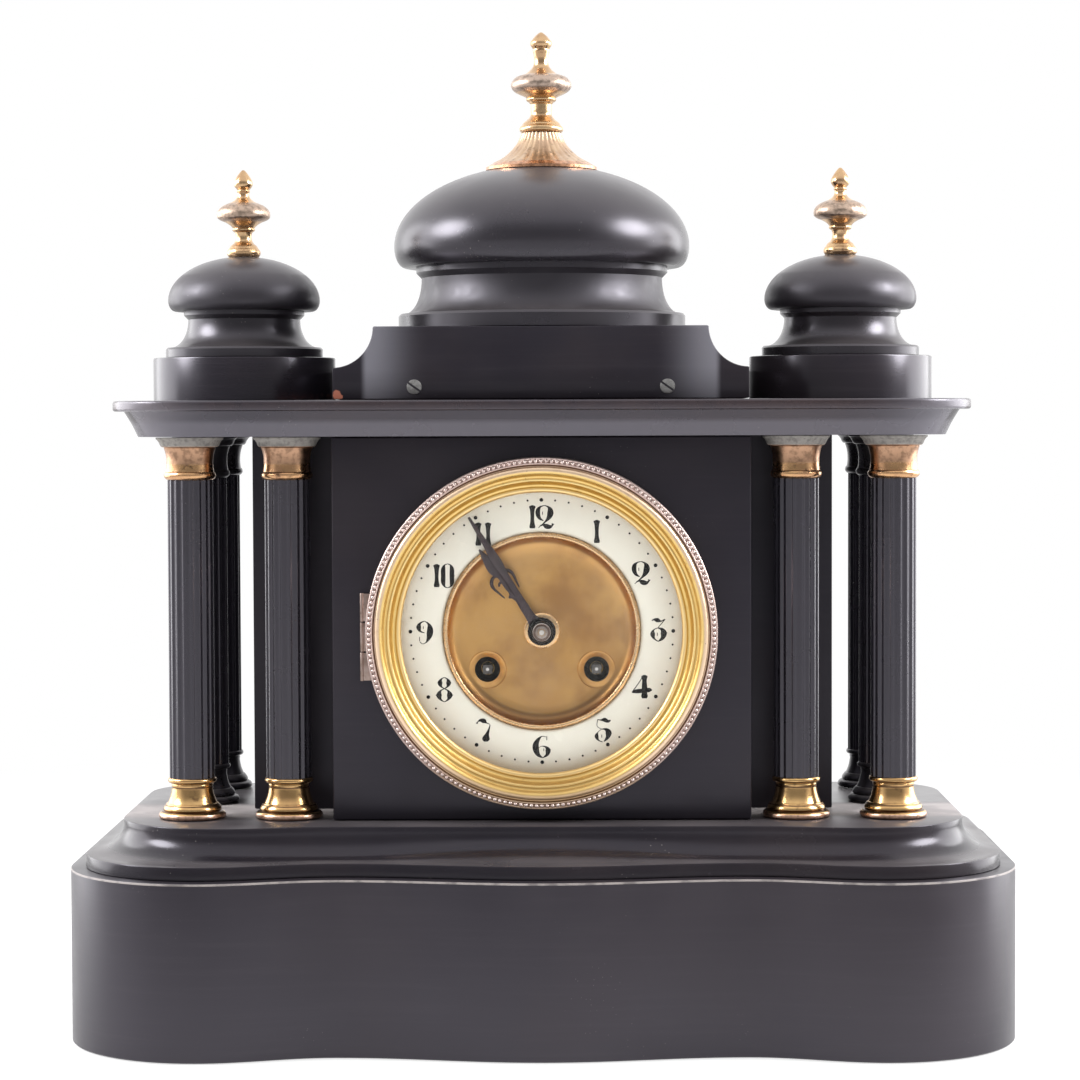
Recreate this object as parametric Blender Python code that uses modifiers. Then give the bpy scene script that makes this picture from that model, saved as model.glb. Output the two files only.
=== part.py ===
"""Black marble portico mantel clock with a serpentine base, eight columns and a striking movement.

Metres, +Z up, front towards -Y. The origin is under the middle of the base.
"""

import math
from collections import namedtuple

import bmesh
import bpy

# Clearances
SEAT_GAP = 0.0003
RUNNING_GAP = 0.0004

# Serpentine plinth; fronts are measured ahead of the axis, backs behind it
PLINTH_SPREAD = 0.0201
PLINTH_HEIGHT = 0.0695
PLINTH_FRONT_SPREAD = 0.0200
PLINTH_BACK_SPREAD = 0.0220
PLINTH_CENTRE_DIP = 0.0010
PLINTH_HOLLOW_DIP = 0.0105
PLINTH_CORNER_RADIUS = 0.0550
PLINTH_BACK_RADIUS = 0.0450
PLINTH_WALL = 0.0160
PLINTH_TOP_WALL = 0.0150
HOLLOW_X = 0.0800

# Cavetto moulding between the plinth and the columns
LEDGE = 0.0060
MOULDING_FILLET = 0.0052
MOULDING_COVE = 0.0105
MOULDING_EDGE = 0.0025
PLATE_MARGIN = 0.0284
PLATE_FRONT_MARGIN = 0.0230
PLATE_CENTRE_DIP = 0.0060
PLATE_BACK_MARGIN = 0.0030
PLATE_CORNER_RADIUS = 0.0420
PLATE_BACK_RADIUS = 0.0300

# Case between the base and the cornice
CASE_WALL = 0.0120
PANEL_HALF_WIDTH = 0.0830
PANEL_FRONT = 0.0520
WING_OVERHANG = 0.0165
WING_FRONT = 0.0150
CASE_BACK = 0.0700

# Columns
PANEL_CLEARANCE = 0.0050
WING_CLEARANCE = 0.0088
FRONT_COLUMN_SETBACK = 0.0110
REAR_COLUMN_SETBACK = 0.0125
SHAFT_RADIUS = 0.00875
FLUTE_DEPTH = 0.0010
FLUTE_COUNT = 16
CAPITAL_HEIGHT = 0.0170
CAPITAL_RADIUS = 0.0135
COLUMN_BASE_HEIGHT = 0.0160
COLUMN_BASE_RADIUS = 0.0134

# Cornice
CORNICE_OVERHANG = 0.0313
CORNICE_FRONT_OVERHANG = 0.0175
CORNICE_BACK_OVERHANG = 0.0150
CORNICE_RADIUS = 0.0350
CORNICE_SLAB = 0.0042
CORNICE_SPLAY = 0.0101
CORNICE_SPLAY_TOP_INSET = 0.0045
CORNICE_SPLAY_FOOT_INSET = 0.0100
CORNICE_EDGE_ROUND = 0.0009

# Attic block with concave shoulders
ATTIC_HEIGHT = 0.0288
ATTIC_SIDE_SETBACK = 0.0007
ATTIC_SHOULDER_WIDTH = 0.01605
ATTIC_SHOULDER_HEIGHT = 0.0125
ATTIC_BACK_SETBACK = 0.0020

# Turned domes and the drums under the side ones
DOME_RADIUS = 0.0610
DOME_RISE = 0.0336
DOME_LIP = 0.0086
DOME_LIP_INSET = 0.0046
DOME_NECK_RADIUS = 0.0497
DOME_NECK_HEIGHT = 0.0191
DOME_DISC_RADIUS = 0.0593
DOME_DISC_HEIGHT = 0.0063
DRUM_CLEARANCE = 0.0035
DRUM_RADIUS = 0.0376
DRUM_HEIGHT = 0.0176
SIDE_DOME_RADIUS = 0.0313
SIDE_DOME_RISE = 0.0182
SIDE_DOME_LIP = 0.0044
SIDE_DOME_LIP_INSET = 0.0030
SIDE_NECK_RADIUS = 0.0231
SIDE_NECK_HEIGHT = 0.0150
SIDE_DISC_RADIUS = 0.0324
SIDE_DISC_HEIGHT = 0.0040

# Gilt skirt and finials
SKIRT_RADIUS = 0.0230
SKIRT_TOP_RADIUS = 0.0081
SKIRT_HEIGHT = 0.0153
SKIRT_RIM = 0.0012
FINIAL_HEIGHT = 0.0413
FINIAL_RING_RADIUS = 0.0125
FINIAL_STEM_RADIUS = 0.0043
FINIAL_FOOT_RADIUS = 0.0091
FINIAL_BUD_RADIUS = 0.0045
SIDE_FINIAL_HEIGHT = 0.0360
SIDE_RING_RADIUS = 0.0110
SIDE_STEM_RADIUS = 0.0033
SIDE_FOOT_RADIUS = 0.0070
SIDE_BUD_RADIUS = 0.0039
SPIGOT_RADIUS = 0.0022
SPIGOT_LENGTH = 0.0070

# Dial; heights are proud of the front panel, so inside the case they are negative
DIAL_FOOTROOM = 0.0050
DIAL_HEADROOM = 0.0080
BEZEL_RADIUS = 0.0695
BEZEL_WIDTH = 0.0140
BEZEL_PROUD = 0.0100
SIGHT_LIP = 0.0009
GLASS_THICKNESS = 0.0018
GLASS_SAG = 0.0055
GLASS_BEARING = 0.0028
FLANGE_THICKNESS = 0.0016
FLANGE_WIDTH = 0.0095
PAN_WALL = 0.0012
PAN_DEPTH = 0.0100
CHAPTER_THICKNESS = 0.0033
CHAPTER_WIDTH = 0.0163
GILT_RING_WIDTH = 0.0016
GILT_RING_PROUD = 0.0010
HINGE_RADIUS = 0.0012
HINGE_PIN_RADIUS = 0.0005
HINGE_KNUCKLE = 0.0116
HINGE_LAP = 0.0050
WEB_INSET = 0.0002
WINDING_X = 0.0218
WINDING_DROP = 0.0155
WINDING_HOLE_RADIUS = 0.0050

# Hands
MINUTE_HAND_ANGLE = math.radians(32.3)
HOUR_HAND_ANGLE = math.radians(37.2)
HAND_THICKNESS = 0.0008
HAND_SPACING = 0.0016
MINUTE_HAND_CLEARANCE = 0.0015
MINUTE_HUB_RADIUS = 0.0050
HOUR_HAND_OVERLAP = 0.0018
HOUR_HUB_RADIUS = 0.0056
HOUR_PIPE_WALL = 0.0009
HAND_NUT_RADIUS = 0.0044
HAND_NUT_HEIGHT = 0.0024

# Movement
CENTRE_ARBOR_RADIUS = 0.0015
MOVEMENT_STANDOFF = 0.0060
MOVEMENT_RADIUS = 0.0495
PLATE_THICKNESS = 0.0022
PLATE_SPACING = 0.0320
PILLAR_RADIUS = 0.0022
PILLAR_CIRCLE = 0.0455
DIAL_FOOT_CIRCLE = 0.0420
WINDING_ARBOR_RADIUS = 0.0022
WINDING_SQUARE = 0.0036
WINDING_SQUARE_LENGTH = 0.0065
BARREL_DRUM_RADIUS = 0.0180
BARREL_DRUM_LENGTH = 0.0165
WHEEL_THICKNESS = 0.0022
BARREL_TEETH = 28
CENTRE_PINION_TEETH = 9
CENTRE_WHEEL_TEETH = 28
ESCAPE_PINION_TEETH = 6
ESCAPE_TEETH = 15
ESCAPE_HEIGHT = 0.0263
ESCAPE_RADIUS = 0.0085
ESCAPE_ARBOR_RADIUS = 0.0011
TRAIN_STEP = 0.0038
ANCHOR_RISE = 0.0125
ANCHOR_CLEARANCE = 0.0010
ANCHOR_WIDTH = 0.0026
ANCHOR_ARBOR_RADIUS = 0.0012
CRUTCH_LENGTH = 0.0340

# Pendulum, bell and hammer behind the movement
PENDULUM_SETBACK = 0.0100
PENDULUM_LENGTH = 0.0850
PENDULUM_ROD_RADIUS = 0.0013
BOB_RADIUS = 0.0170
BOB_THICKNESS = 0.0080
COCK_DEPTH = 0.0150
COCK_RISE = 0.0042
COCK_HEIGHT = 0.0042
BELL_X = 0.0120
BELL_DROP = 0.0120
BELL_RADIUS = 0.0310
BELL_DEPTH = 0.0175
BELL_WALL = 0.0017
BELL_SETBACK = 0.0195
BELL_POST_RADIUS = 0.0022
HAMMER_PIVOT_X = -0.0340
HAMMER_PIVOT_DROP = 0.0300
HAMMER_HEAD_RADIUS = 0.0030
HAMMER_ARBOR_RADIUS = 0.0014

# Round door at the back
BACK_HOLE_RADIUS = 0.0560
BACK_NECK_WALL = 0.0016
BACK_FLANGE_WIDTH = 0.0050
STRAP_WIDTH = 0.0080
STRAP_THICKNESS = 0.0024
DOOR_THICKNESS = 0.0012
DOOR_DISH = 0.0040

# Smoothness of round shapes
FINE_STEPS = 24
MEDIUM_STEPS = 16
SMALL_STEPS = 10
COLUMN_STEPS = 8
PIN_STEPS = 8
CURVE_STEPS = 4
SHARP_ANGLE = math.radians(35)

Plan = namedtuple("Plan", "half_width centre hollow corner back radius back_radius")

# Places from the front panel outwards, and fronts and backs from the case
inner_column_x = PANEL_HALF_WIDTH + PANEL_CLEARANCE + CAPITAL_RADIUS
wing_half_width = inner_column_x + WING_OVERHANG
outer_column_x = wing_half_width + WING_CLEARANCE + CAPITAL_RADIUS
plate_half_width = outer_column_x + PLATE_MARGIN
plinth_half_width = plate_half_width + PLINTH_SPREAD
cornice_half_width = outer_column_x + CORNICE_OVERHANG
attic_half_width = PANEL_HALF_WIDTH - ATTIC_SIDE_SETBACK
drum_x = attic_half_width + DRUM_CLEARANCE + DRUM_RADIUS
plate_corner_front = PANEL_FRONT + PLATE_FRONT_MARGIN
plate_centre_front = plate_corner_front - PLATE_CENTRE_DIP
plate_back_edge = CASE_BACK + PLATE_BACK_MARGIN
plinth_corner_front = plate_corner_front + PLINTH_FRONT_SPREAD
plinth_back_edge = plate_back_edge + PLINTH_BACK_SPREAD
front_column_y = FRONT_COLUMN_SETBACK - PANEL_FRONT
rear_column_y = CASE_BACK - REAR_COLUMN_SETBACK
middle_column_y = (front_column_y + rear_column_y) / 2
dome_y = middle_column_y

# Circles of the dial from the bezel inwards
sight_radius = BEZEL_RADIUS - BEZEL_WIDTH
pan_radius = BEZEL_RADIUS - FLANGE_WIDTH
gilt_ring_radius = sight_radius - CHAPTER_WIDTH
minute_hand_length = sight_radius - MINUTE_HAND_CLEARANCE
hour_hand_length = gilt_ring_radius + HOUR_HAND_OVERLAP

# Levels of the stacked slabs
plinth_top = PLINTH_HEIGHT
moulding_bottom = plinth_top + SEAT_GAP
moulding_top = moulding_bottom + MOULDING_FILLET + MOULDING_COVE + MOULDING_EDGE
case_bottom = moulding_top + SEAT_GAP
dial_z = case_bottom + DIAL_FOOTROOM + BEZEL_RADIUS
case_top = dial_z + BEZEL_RADIUS + DIAL_HEADROOM
cornice_bottom = case_top + SEAT_GAP
cornice_top = cornice_bottom + CORNICE_SPLAY + CORNICE_SLAB
attic_bottom = cornice_top + SEAT_GAP
attic_top = attic_bottom + ATTIC_HEIGHT
dome_bottom = attic_top + SEAT_GAP
drum_bottom = cornice_top + SEAT_GAP
side_dome_bottom = drum_bottom + DRUM_HEIGHT + SEAT_GAP

# Levels of the dial and the movement, measured proud of the panel
flange_front = SEAT_GAP + FLANGE_THICKNESS
bezel_back = flange_front + SEAT_GAP
glass_back = bezel_back - SEAT_GAP - GLASS_THICKNESS / 2
glass_front = glass_back + GLASS_THICKNESS
lip_back = glass_front + SEAT_GAP
pan_floor = -PAN_DEPTH
pan_back = pan_floor - PAN_WALL
chapter_back = pan_floor + SEAT_GAP
chapter_front = chapter_back + CHAPTER_THICKNESS
hour_hand_back = chapter_front + GILT_RING_PROUD + RUNNING_GAP
hour_hand_front = hour_hand_back + HAND_THICKNESS
minute_hand_back = hour_hand_front + HAND_SPACING
minute_hand_front = minute_hand_back + HAND_THICKNESS
front_plate_front = pan_back - MOVEMENT_STANDOFF
front_plate_back = front_plate_front - PLATE_THICKNESS
back_plate_front = front_plate_back - PLATE_SPACING
back_plate_back = back_plate_front - PLATE_THICKNESS
great_wheel_front = front_plate_back - TRAIN_STEP / 2 - BARREL_DRUM_LENGTH
centre_wheel_front = great_wheel_front - WHEEL_THICKNESS - TRAIN_STEP
escape_front = front_plate_back - PLATE_SPACING / 3
pendulum_level = back_plate_back - PENDULUM_SETBACK
bell_mouth = back_plate_back - BELL_SETBACK
bell_crown = bell_mouth - BELL_DEPTH
back_face = -(PANEL_FRONT + CASE_BACK)
anchor_height = ESCAPE_HEIGHT + ANCHOR_RISE
hour_pipe_radius = CENTRE_ARBOR_RADIUS + RUNNING_GAP + HOUR_PIPE_WALL

for leftover in list(bpy.data.objects):
    bpy.data.objects.remove(leftover, do_unlink=True)

parts = bpy.data.collections.new("mantel_clock")
cutters = bpy.data.collections.new("cutters")
bpy.context.scene.collection.children.link(parts)
bpy.context.scene.collection.children.link(cutters)


def principled(name, colour, roughness, metallic=0.0, transmission=0.0):
    material = bpy.data.materials.new(name)
    material.use_nodes = True
    shader = material.node_tree.nodes["Principled BSDF"]
    shader.inputs["Base Color"].default_value = (*colour, 1.0)
    shader.inputs["Roughness"].default_value = roughness
    shader.inputs["Metallic"].default_value = metallic
    shader.inputs["Transmission Weight"].default_value = transmission
    return material


black_marble = principled("black_marble", (0.012, 0.011, 0.013), 0.22)
gilt_brass = principled("gilt_brass", (0.62, 0.38, 0.14), 0.30, 1.0)
bezel_brass = principled("bezel_brass", (0.78, 0.55, 0.16), 0.22, 1.0)
aged_brass = principled("aged_brass", (0.45, 0.27, 0.10), 0.40, 1.0)
white_enamel = principled("white_enamel", (0.78, 0.76, 0.66), 0.18)
blued_steel = principled("blued_steel", (0.03, 0.028, 0.035), 0.35, 1.0)
bright_steel = principled("bright_steel", (0.45, 0.44, 0.42), 0.30, 1.0)
bell_metal = principled("bell_metal", (0.55, 0.47, 0.34), 0.28, 1.0)
clear_glass = principled("clear_glass", (0.95, 0.97, 0.96), 0.02, 0.0, 1.0)


def empty_at(name, location, rotation=(0.0, 0.0, 0.0), parent=None):
    empty = bpy.data.objects.new(name, None)
    empty.location = location
    empty.rotation_euler = rotation
    empty.parent = parent
    parts.objects.link(empty)
    return empty


def add_object(name, mesh, material, parent=None, location=(0.0, 0.0, 0.0), turn=0.0):
    """A part when it has a material, otherwise a hidden helper for a Boolean."""
    obj = bpy.data.objects.new(name, mesh)
    obj.parent = parent
    obj.location = location
    obj.rotation_euler = (0.0, 0.0, turn)
    if material is None:
        cutters.objects.link(obj)
        obj.hide_render = True
        obj.display_type = "WIRE"
    else:
        mesh.materials.append(material)
        mesh.shade_smooth()
        mesh.set_sharp_from_angle(angle=SHARP_ANGLE)
        parts.objects.link(obj)
    return obj


def turned(name, profile, steps, material, parent=None, location=(0.0, 0.0, 0.0), loop=False):
    """Spins a profile of (radius, height) points, outer side from top to bottom, about local Z."""
    mesh = bpy.data.meshes.new(name)
    edges = [(i, i + 1) for i in range(len(profile) - 1)]
    if loop:
        edges.append((len(profile) - 1, 0))
    mesh.from_pydata([(radius, 0.0, height) for radius, height in profile], edges, [])
    obj = add_object(name, mesh, material, parent, location)
    spin = obj.modifiers.new("Spin", "SCREW")
    spin.steps = steps
    spin.render_steps = steps
    spin.use_merge_vertices = True
    spin.merge_threshold = 0.00001
    return obj


def rod(name, radius, low, high, material, parent=None, place=(0.0, 0.0), steps=PIN_STEPS):
    profile = [(0.0, high), (radius, high), (radius, low), (0.0, low)]
    return turned(name, profile, steps, material, parent, (*place, 0.0))


def flat(name, outlines, low, high, material, parent=None, location=(0.0, 0.0, 0.0), turn=0.0):
    """Extrudes closed outlines of (x, y) points from low to high; outlines inside the first are holes."""
    curve = bpy.data.curves.new(name, "CURVE")
    curve.dimensions = "2D"
    curve.fill_mode = "BOTH"
    curve.extrude = (high - low) / 2
    for outline in outlines:
        spline = curve.splines.new("POLY")
        spline.points.add(len(outline) - 1)
        for point, (x, y) in zip(spline.points, outline):
            point.co = (x, y, 0.0, 1.0)
        spline.use_cyclic_u = True
    guide = bpy.data.objects.new(name + "_guide", curve)
    cutters.objects.link(guide)
    graph = bpy.context.evaluated_depsgraph_get()
    mesh = bpy.data.meshes.new_from_object(guide.evaluated_get(graph))
    bpy.data.objects.remove(guide, do_unlink=True)
    mesh.name = name
    work = bmesh.new()
    work.from_mesh(mesh)
    bmesh.ops.remove_doubles(work, verts=work.verts, dist=0.000001)
    bmesh.ops.translate(work, verts=work.verts, vec=(0.0, 0.0, (low + high) / 2))
    bmesh.ops.recalc_face_normals(work, faces=work.faces)
    work.to_mesh(mesh)
    work.free()
    mesh.materials.clear()
    return add_object(name, mesh, material, parent, location, turn)


def loft(name, sections, material):
    """Skins level outlines with equal numbers of points, given from bottom to top as (z, outline)."""
    work = bmesh.new()
    rings = [[work.verts.new((x, y, z)) for x, y in outline] for z, outline in sections]
    count = len(rings[0])
    for lower, upper in zip(rings, rings[1:]):
        for i in range(count):
            j = (i + 1) % count
            work.faces.new((lower[i], lower[j], upper[j], upper[i]))
    work.faces.new(list(reversed(rings[0])))
    work.faces.new(rings[-1])
    mesh = bpy.data.meshes.new(name)
    work.to_mesh(mesh)
    work.free()
    return add_object(name, mesh, material)


def boolean(obj, other, operation):
    step = obj.modifiers.new(operation.title(), "BOOLEAN")
    step.operation = operation
    step.object = other
    step.solver = "EXACT"


def circle(radius, steps, centre=(0.0, 0.0)):
    angles = [2 * math.pi * i / steps for i in range(steps)]
    return [(centre[0] + radius * math.cos(a), centre[1] + radius * math.sin(a)) for a in angles]


def box_outline(half_width, low, high, centre_x=0.0):
    left, right = centre_x - half_width, centre_x + half_width
    return [(left, low), (right, low), (right, high), (left, high)]


def ease(start, end, t):
    return start + (end - start) * (1 - math.cos(math.pi * t)) / 2


def arc_points(centre, radius, start, end, steps):
    angles = [math.radians(start + (end - start) * i / steps) for i in range(steps + 1)]
    return [(centre[0] + radius * math.cos(a), centre[1] + radius * math.sin(a)) for a in angles]


def plan_outline(plan):
    """Counter-clockwise outline whose front waves from the middle bulge to a hollow and out to the corner."""
    corner_x = plan.half_width - plan.radius
    half = []
    for i in range(CURVE_STEPS):
        t = i / CURVE_STEPS
        half.append((HOLLOW_X * t, -ease(plan.centre, plan.hollow, t)))
    for i in range(CURVE_STEPS):
        t = i / CURVE_STEPS
        half.append((HOLLOW_X + (corner_x - HOLLOW_X) * t, -ease(plan.hollow, plan.corner, t)))
    half += arc_points((corner_x, plan.radius - plan.corner), plan.radius, -90, 0, CURVE_STEPS + 2)
    back_centre = (plan.half_width - plan.back_radius, plan.back - plan.back_radius)
    half += arc_points(back_centre, plan.back_radius, 0, 90, CURVE_STEPS)
    return half + [(-x, y) for x, y in reversed(half[1:])]


def inset(plan, distance):
    return Plan(*(size - distance for size in plan))


def between(first, second, t):
    return Plan(*(a + (b - a) * t for a, b in zip(first, second)))


def quarter(steps):
    return [math.pi / 2 * i / steps for i in range(steps + 1)]


# Base: hollow plinth, then the moulding whose cove sweeps from the serpentine fillet in to the plate

plinth_plan = Plan(
    plinth_half_width,
    plinth_corner_front - PLINTH_CENTRE_DIP,
    plinth_corner_front - PLINTH_HOLLOW_DIP,
    plinth_corner_front,
    plinth_back_edge,
    PLINTH_CORNER_RADIUS,
    PLINTH_BACK_RADIUS,
)
plate_plan = Plan(
    plate_half_width,
    plate_centre_front,
    plate_centre_front,
    plate_corner_front,
    plate_back_edge,
    PLATE_CORNER_RADIUS,
    PLATE_BACK_RADIUS,
)


def make_base():
    outline = plan_outline(plinth_plan)
    plinth = loft("base_plinth", [(0.0, outline), (plinth_top, outline)], black_marble)
    cavity = plan_outline(inset(plinth_plan, PLINTH_WALL))
    cavity_top = plinth_top - PLINTH_TOP_WALL
    hollow = loft("plinth_hollow", [(-PLINTH_WALL, cavity), (cavity_top, cavity)], None)
    boolean(plinth, hollow, "DIFFERENCE")
    fillet_plan = inset(plinth_plan, LEDGE)
    fillet_top = moulding_bottom + MOULDING_FILLET
    cove_top = fillet_top + MOULDING_COVE
    sections = [(moulding_bottom, plan_outline(fillet_plan))]
    for angle in reversed(quarter(CURVE_STEPS)):
        plan = between(plate_plan, fillet_plan, 1 - math.cos(angle))
        sections.append((cove_top - MOULDING_COVE * math.sin(angle), plan_outline(plan)))
    sections.append((moulding_top, plan_outline(plate_plan)))
    loft("base_moulding", sections, black_marble)


# Case: a front slab round the dial, and a stepped body that closes the wings, sides and back

dial_frame = empty_at("dial_frame", (0.0, -PANEL_FRONT, dial_z), (math.pi / 2, 0.0, 0.0))


def make_case():
    slab_back = -PANEL_FRONT + CASE_WALL
    slab = [
        (-PANEL_HALF_WIDTH, -PANEL_FRONT),
        (PANEL_HALF_WIDTH, -PANEL_FRONT),
        (PANEL_HALF_WIDTH, slab_back),
        (-PANEL_HALF_WIDTH, slab_back),
    ]
    front = flat("case_front", [slab], case_bottom, case_top, black_marble)
    hole_radius = pan_radius + SEAT_GAP
    reach = CASE_WALL * 2
    dial_hole = rod("dial_hole", hole_radius, -reach, reach, None, dial_frame, steps=FINE_STEPS)
    boolean(front, dial_hole, "DIFFERENCE")
    cheek_front = slab_back + SEAT_GAP
    inner_wing = -WING_FRONT + CASE_WALL
    half = [
        (PANEL_HALF_WIDTH - CASE_WALL, cheek_front),
        (PANEL_HALF_WIDTH, cheek_front),
        (PANEL_HALF_WIDTH, -WING_FRONT),
        (wing_half_width, -WING_FRONT),
        (wing_half_width, CASE_BACK),
    ]
    inner = [
        (wing_half_width - CASE_WALL, CASE_BACK - CASE_WALL),
        (wing_half_width - CASE_WALL, inner_wing),
        (PANEL_HALF_WIDTH - CASE_WALL, inner_wing),
    ]
    outline = half + [(-x, y) for x, y in reversed(half)]
    outline += [(-x, y) for x, y in reversed(inner)] + inner
    body = flat("case_body", [outline], case_bottom, case_top, black_marble)
    low, high = back_face - reach, back_face + reach
    back_hole = rod("back_hole", BACK_HOLE_RADIUS, low, high, None, dial_frame, steps=FINE_STEPS)
    boolean(body, back_hole, "DIFFERENCE")


# Columns: turned base, fluted shaft and turned capital

def capital_profile():
    neck = SHAFT_RADIUS + 0.0006
    ring = SHAFT_RADIUS + 0.0016
    top = CAPITAL_HEIGHT
    return [
        (0.0, top),
        (CAPITAL_RADIUS, top),
        (CAPITAL_RADIUS, top - 0.0010),
        (CAPITAL_RADIUS - 0.0019, top - 0.0037),
        (neck, top - 0.0068),
        (neck, 0.0048),
        (ring, 0.0038),
        (ring, 0.0014),
        (neck, 0.0),
        (0.0, 0.0),
    ]


def column_base_profile():
    torus = SHAFT_RADIUS + 0.0013
    neck = SHAFT_RADIUS - 0.0005
    top = COLUMN_BASE_HEIGHT
    return [
        (0.0, top),
        (torus - 0.0006, top),
        (torus, top - 0.0016),
        (neck, top - 0.0034),
        (neck, top - 0.0058),
        (neck + 0.0014, 0.0078),
        (COLUMN_BASE_RADIUS - 0.0020, 0.0044),
        (COLUMN_BASE_RADIUS - 0.0012, 0.0028),
        (COLUMN_BASE_RADIUS, 0.0012),
        (COLUMN_BASE_RADIUS - 0.0006, 0.0),
        (0.0, 0.0),
    ]


def fluted_outline():
    outline = []
    for i in range(FLUTE_COUNT):
        middle = 2 * math.pi * i / FLUTE_COUNT
        ridge = 2 * math.pi / FLUTE_COUNT * 0.36
        valley = SHAFT_RADIUS - FLUTE_DEPTH
        for radius, offset in ((SHAFT_RADIUS, -ridge), (valley, 0.0), (SHAFT_RADIUS, ridge)):
            outline.append((radius * math.cos(middle + offset), radius * math.sin(middle + offset)))
    return outline


def make_columns():
    shaft_low = case_bottom + COLUMN_BASE_HEIGHT + SEAT_GAP
    capital_low = case_top - CAPITAL_HEIGHT
    places = {
        "inner": (inner_column_x, front_column_y),
        "front": (outer_column_x, front_column_y),
        "middle": (outer_column_x, middle_column_y),
        "rear": (outer_column_x, rear_column_y),
    }
    for side, sign in (("left", -1), ("right", 1)):
        for place, (x, y) in places.items():
            label = side + "_" + place
            spot = (sign * x, y)
            base_at = (*spot, case_bottom)
            capital_at = (*spot, capital_low)
            trim = black_marble if place in ("middle", "rear") else gilt_brass
            turned(label + "_base", column_base_profile(), COLUMN_STEPS, trim, None, base_at)
            turned(label + "_capital", capital_profile(), COLUMN_STEPS, trim, None, capital_at)
            flat(
                label + "_shaft",
                [fluted_outline()],
                shaft_low,
                capital_low - SEAT_GAP,
                black_marble,
                None,
                (*spot, 0.0),
            )


# Cornice slab over a splayed neck, and the attic block on it

def make_cornice_and_attic():
    front = PANEL_FRONT + CORNICE_FRONT_OVERHANG
    back = CASE_BACK + CORNICE_BACK_OVERHANG
    radius = CORNICE_RADIUS
    slab_plan = Plan(cornice_half_width, front, front, front, back, radius, radius)
    slab_bottom = cornice_bottom + CORNICE_SPLAY
    levels = [
        (cornice_bottom, CORNICE_SPLAY_FOOT_INSET),
        (slab_bottom, CORNICE_SPLAY_TOP_INSET),
        (slab_bottom, CORNICE_EDGE_ROUND),
        (slab_bottom + CORNICE_EDGE_ROUND, 0.0),
        (cornice_top - CORNICE_EDGE_ROUND, 0.0),
        (cornice_top, CORNICE_EDGE_ROUND),
    ]
    loft("cornice", [(z, plan_outline(inset(slab_plan, depth))) for z, depth in levels], black_marble)
    sweep_z = ATTIC_HEIGHT - ATTIC_SHOULDER_HEIGHT
    half = [(attic_half_width, 0.0)]
    for angle in reversed(quarter(CURVE_STEPS + 1)):
        x = attic_half_width - ATTIC_SHOULDER_WIDTH * math.cos(angle)
        half.append((x, ATTIC_HEIGHT - sweep_z * math.sin(angle)))
    outline = half + [(-x, z) for x, z in reversed(half)]
    attic_frame = empty_at("attic_frame", (0.0, 0.0, attic_bottom), (math.pi / 2, 0.0, 0.0))
    flat("attic_block", [outline], ATTIC_BACK_SETBACK - CASE_BACK, PANEL_FRONT, black_marble, attic_frame)


# Turned domes, each in one piece with its neck and disc, bored for the finial's spigot

def dome_profile(radius, rise, lip, lip_inset, neck, neck_height, disc, disc_height, top_radius):
    disc_top = disc_height
    neck_top = disc_top + neck_height
    widest = neck_top + lip
    fillet = (radius - lip_inset - neck) / 3
    bore = SPIGOT_RADIUS + SEAT_GAP
    top_angle = math.acos(top_radius / radius)
    top = widest + rise * math.sin(top_angle)
    bore_bottom = top - SPIGOT_LENGTH - SEAT_GAP
    profile = [(0.0, bore_bottom), (bore, bore_bottom), (bore, top)]
    shoulder_steps = CURVE_STEPS + 1
    for i in range(shoulder_steps + 1):
        angle = top_angle * (1 - i / shoulder_steps)
        profile.append((radius * math.cos(angle), widest + rise * math.sin(angle)))
    for angle in quarter(2)[1:]:
        profile.append((radius - lip_inset * (1 - math.cos(angle)), widest - lip * math.sin(angle)))
    profile.append((neck + fillet, neck_top))
    profile.append((neck + fillet, neck_top - fillet))
    cove_top = neck_top - 2 * fillet
    for angle in quarter(CURVE_STEPS):
        flare = (disc - fillet - neck) * (1 - math.cos(angle))
        profile.append((neck + flare, cove_top - (cove_top - disc_top) * math.sin(angle)))
    profile += [(disc, disc_top - fillet / 2), (disc, 0.0), (0.0, 0.0)]
    return profile, top


def finial_profile(height, ring, stem, foot, bud, spigot_length):
    """Bud, thin neck, broad middle ring, stem, foot ring and spigot, from the top down."""
    neck = stem * 0.68
    return [
        (0.0, height),
        (bud, height * 0.88),
        (bud * 0.76, height * 0.82),
        (neck, height * 0.73),
        (neck * 1.12, height * 0.66),
        (ring * 0.48, height * 0.605),
        (ring * 0.86, height * 0.55),
        (ring, height * 0.47),
        (ring * 0.96, height * 0.437),
        (ring * 0.60, height * 0.368),
        (stem * 1.35, height * 0.32),
        (stem, height * 0.285),
        (stem, height * 0.17),
        (foot * 0.78, height * 0.11),
        (foot, height * 0.045),
        (foot * 0.91, 0.0),
        (SPIGOT_RADIUS, 0.0),
        (SPIGOT_RADIUS, -spigot_length),
        (0.0, -spigot_length),
    ]


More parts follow.
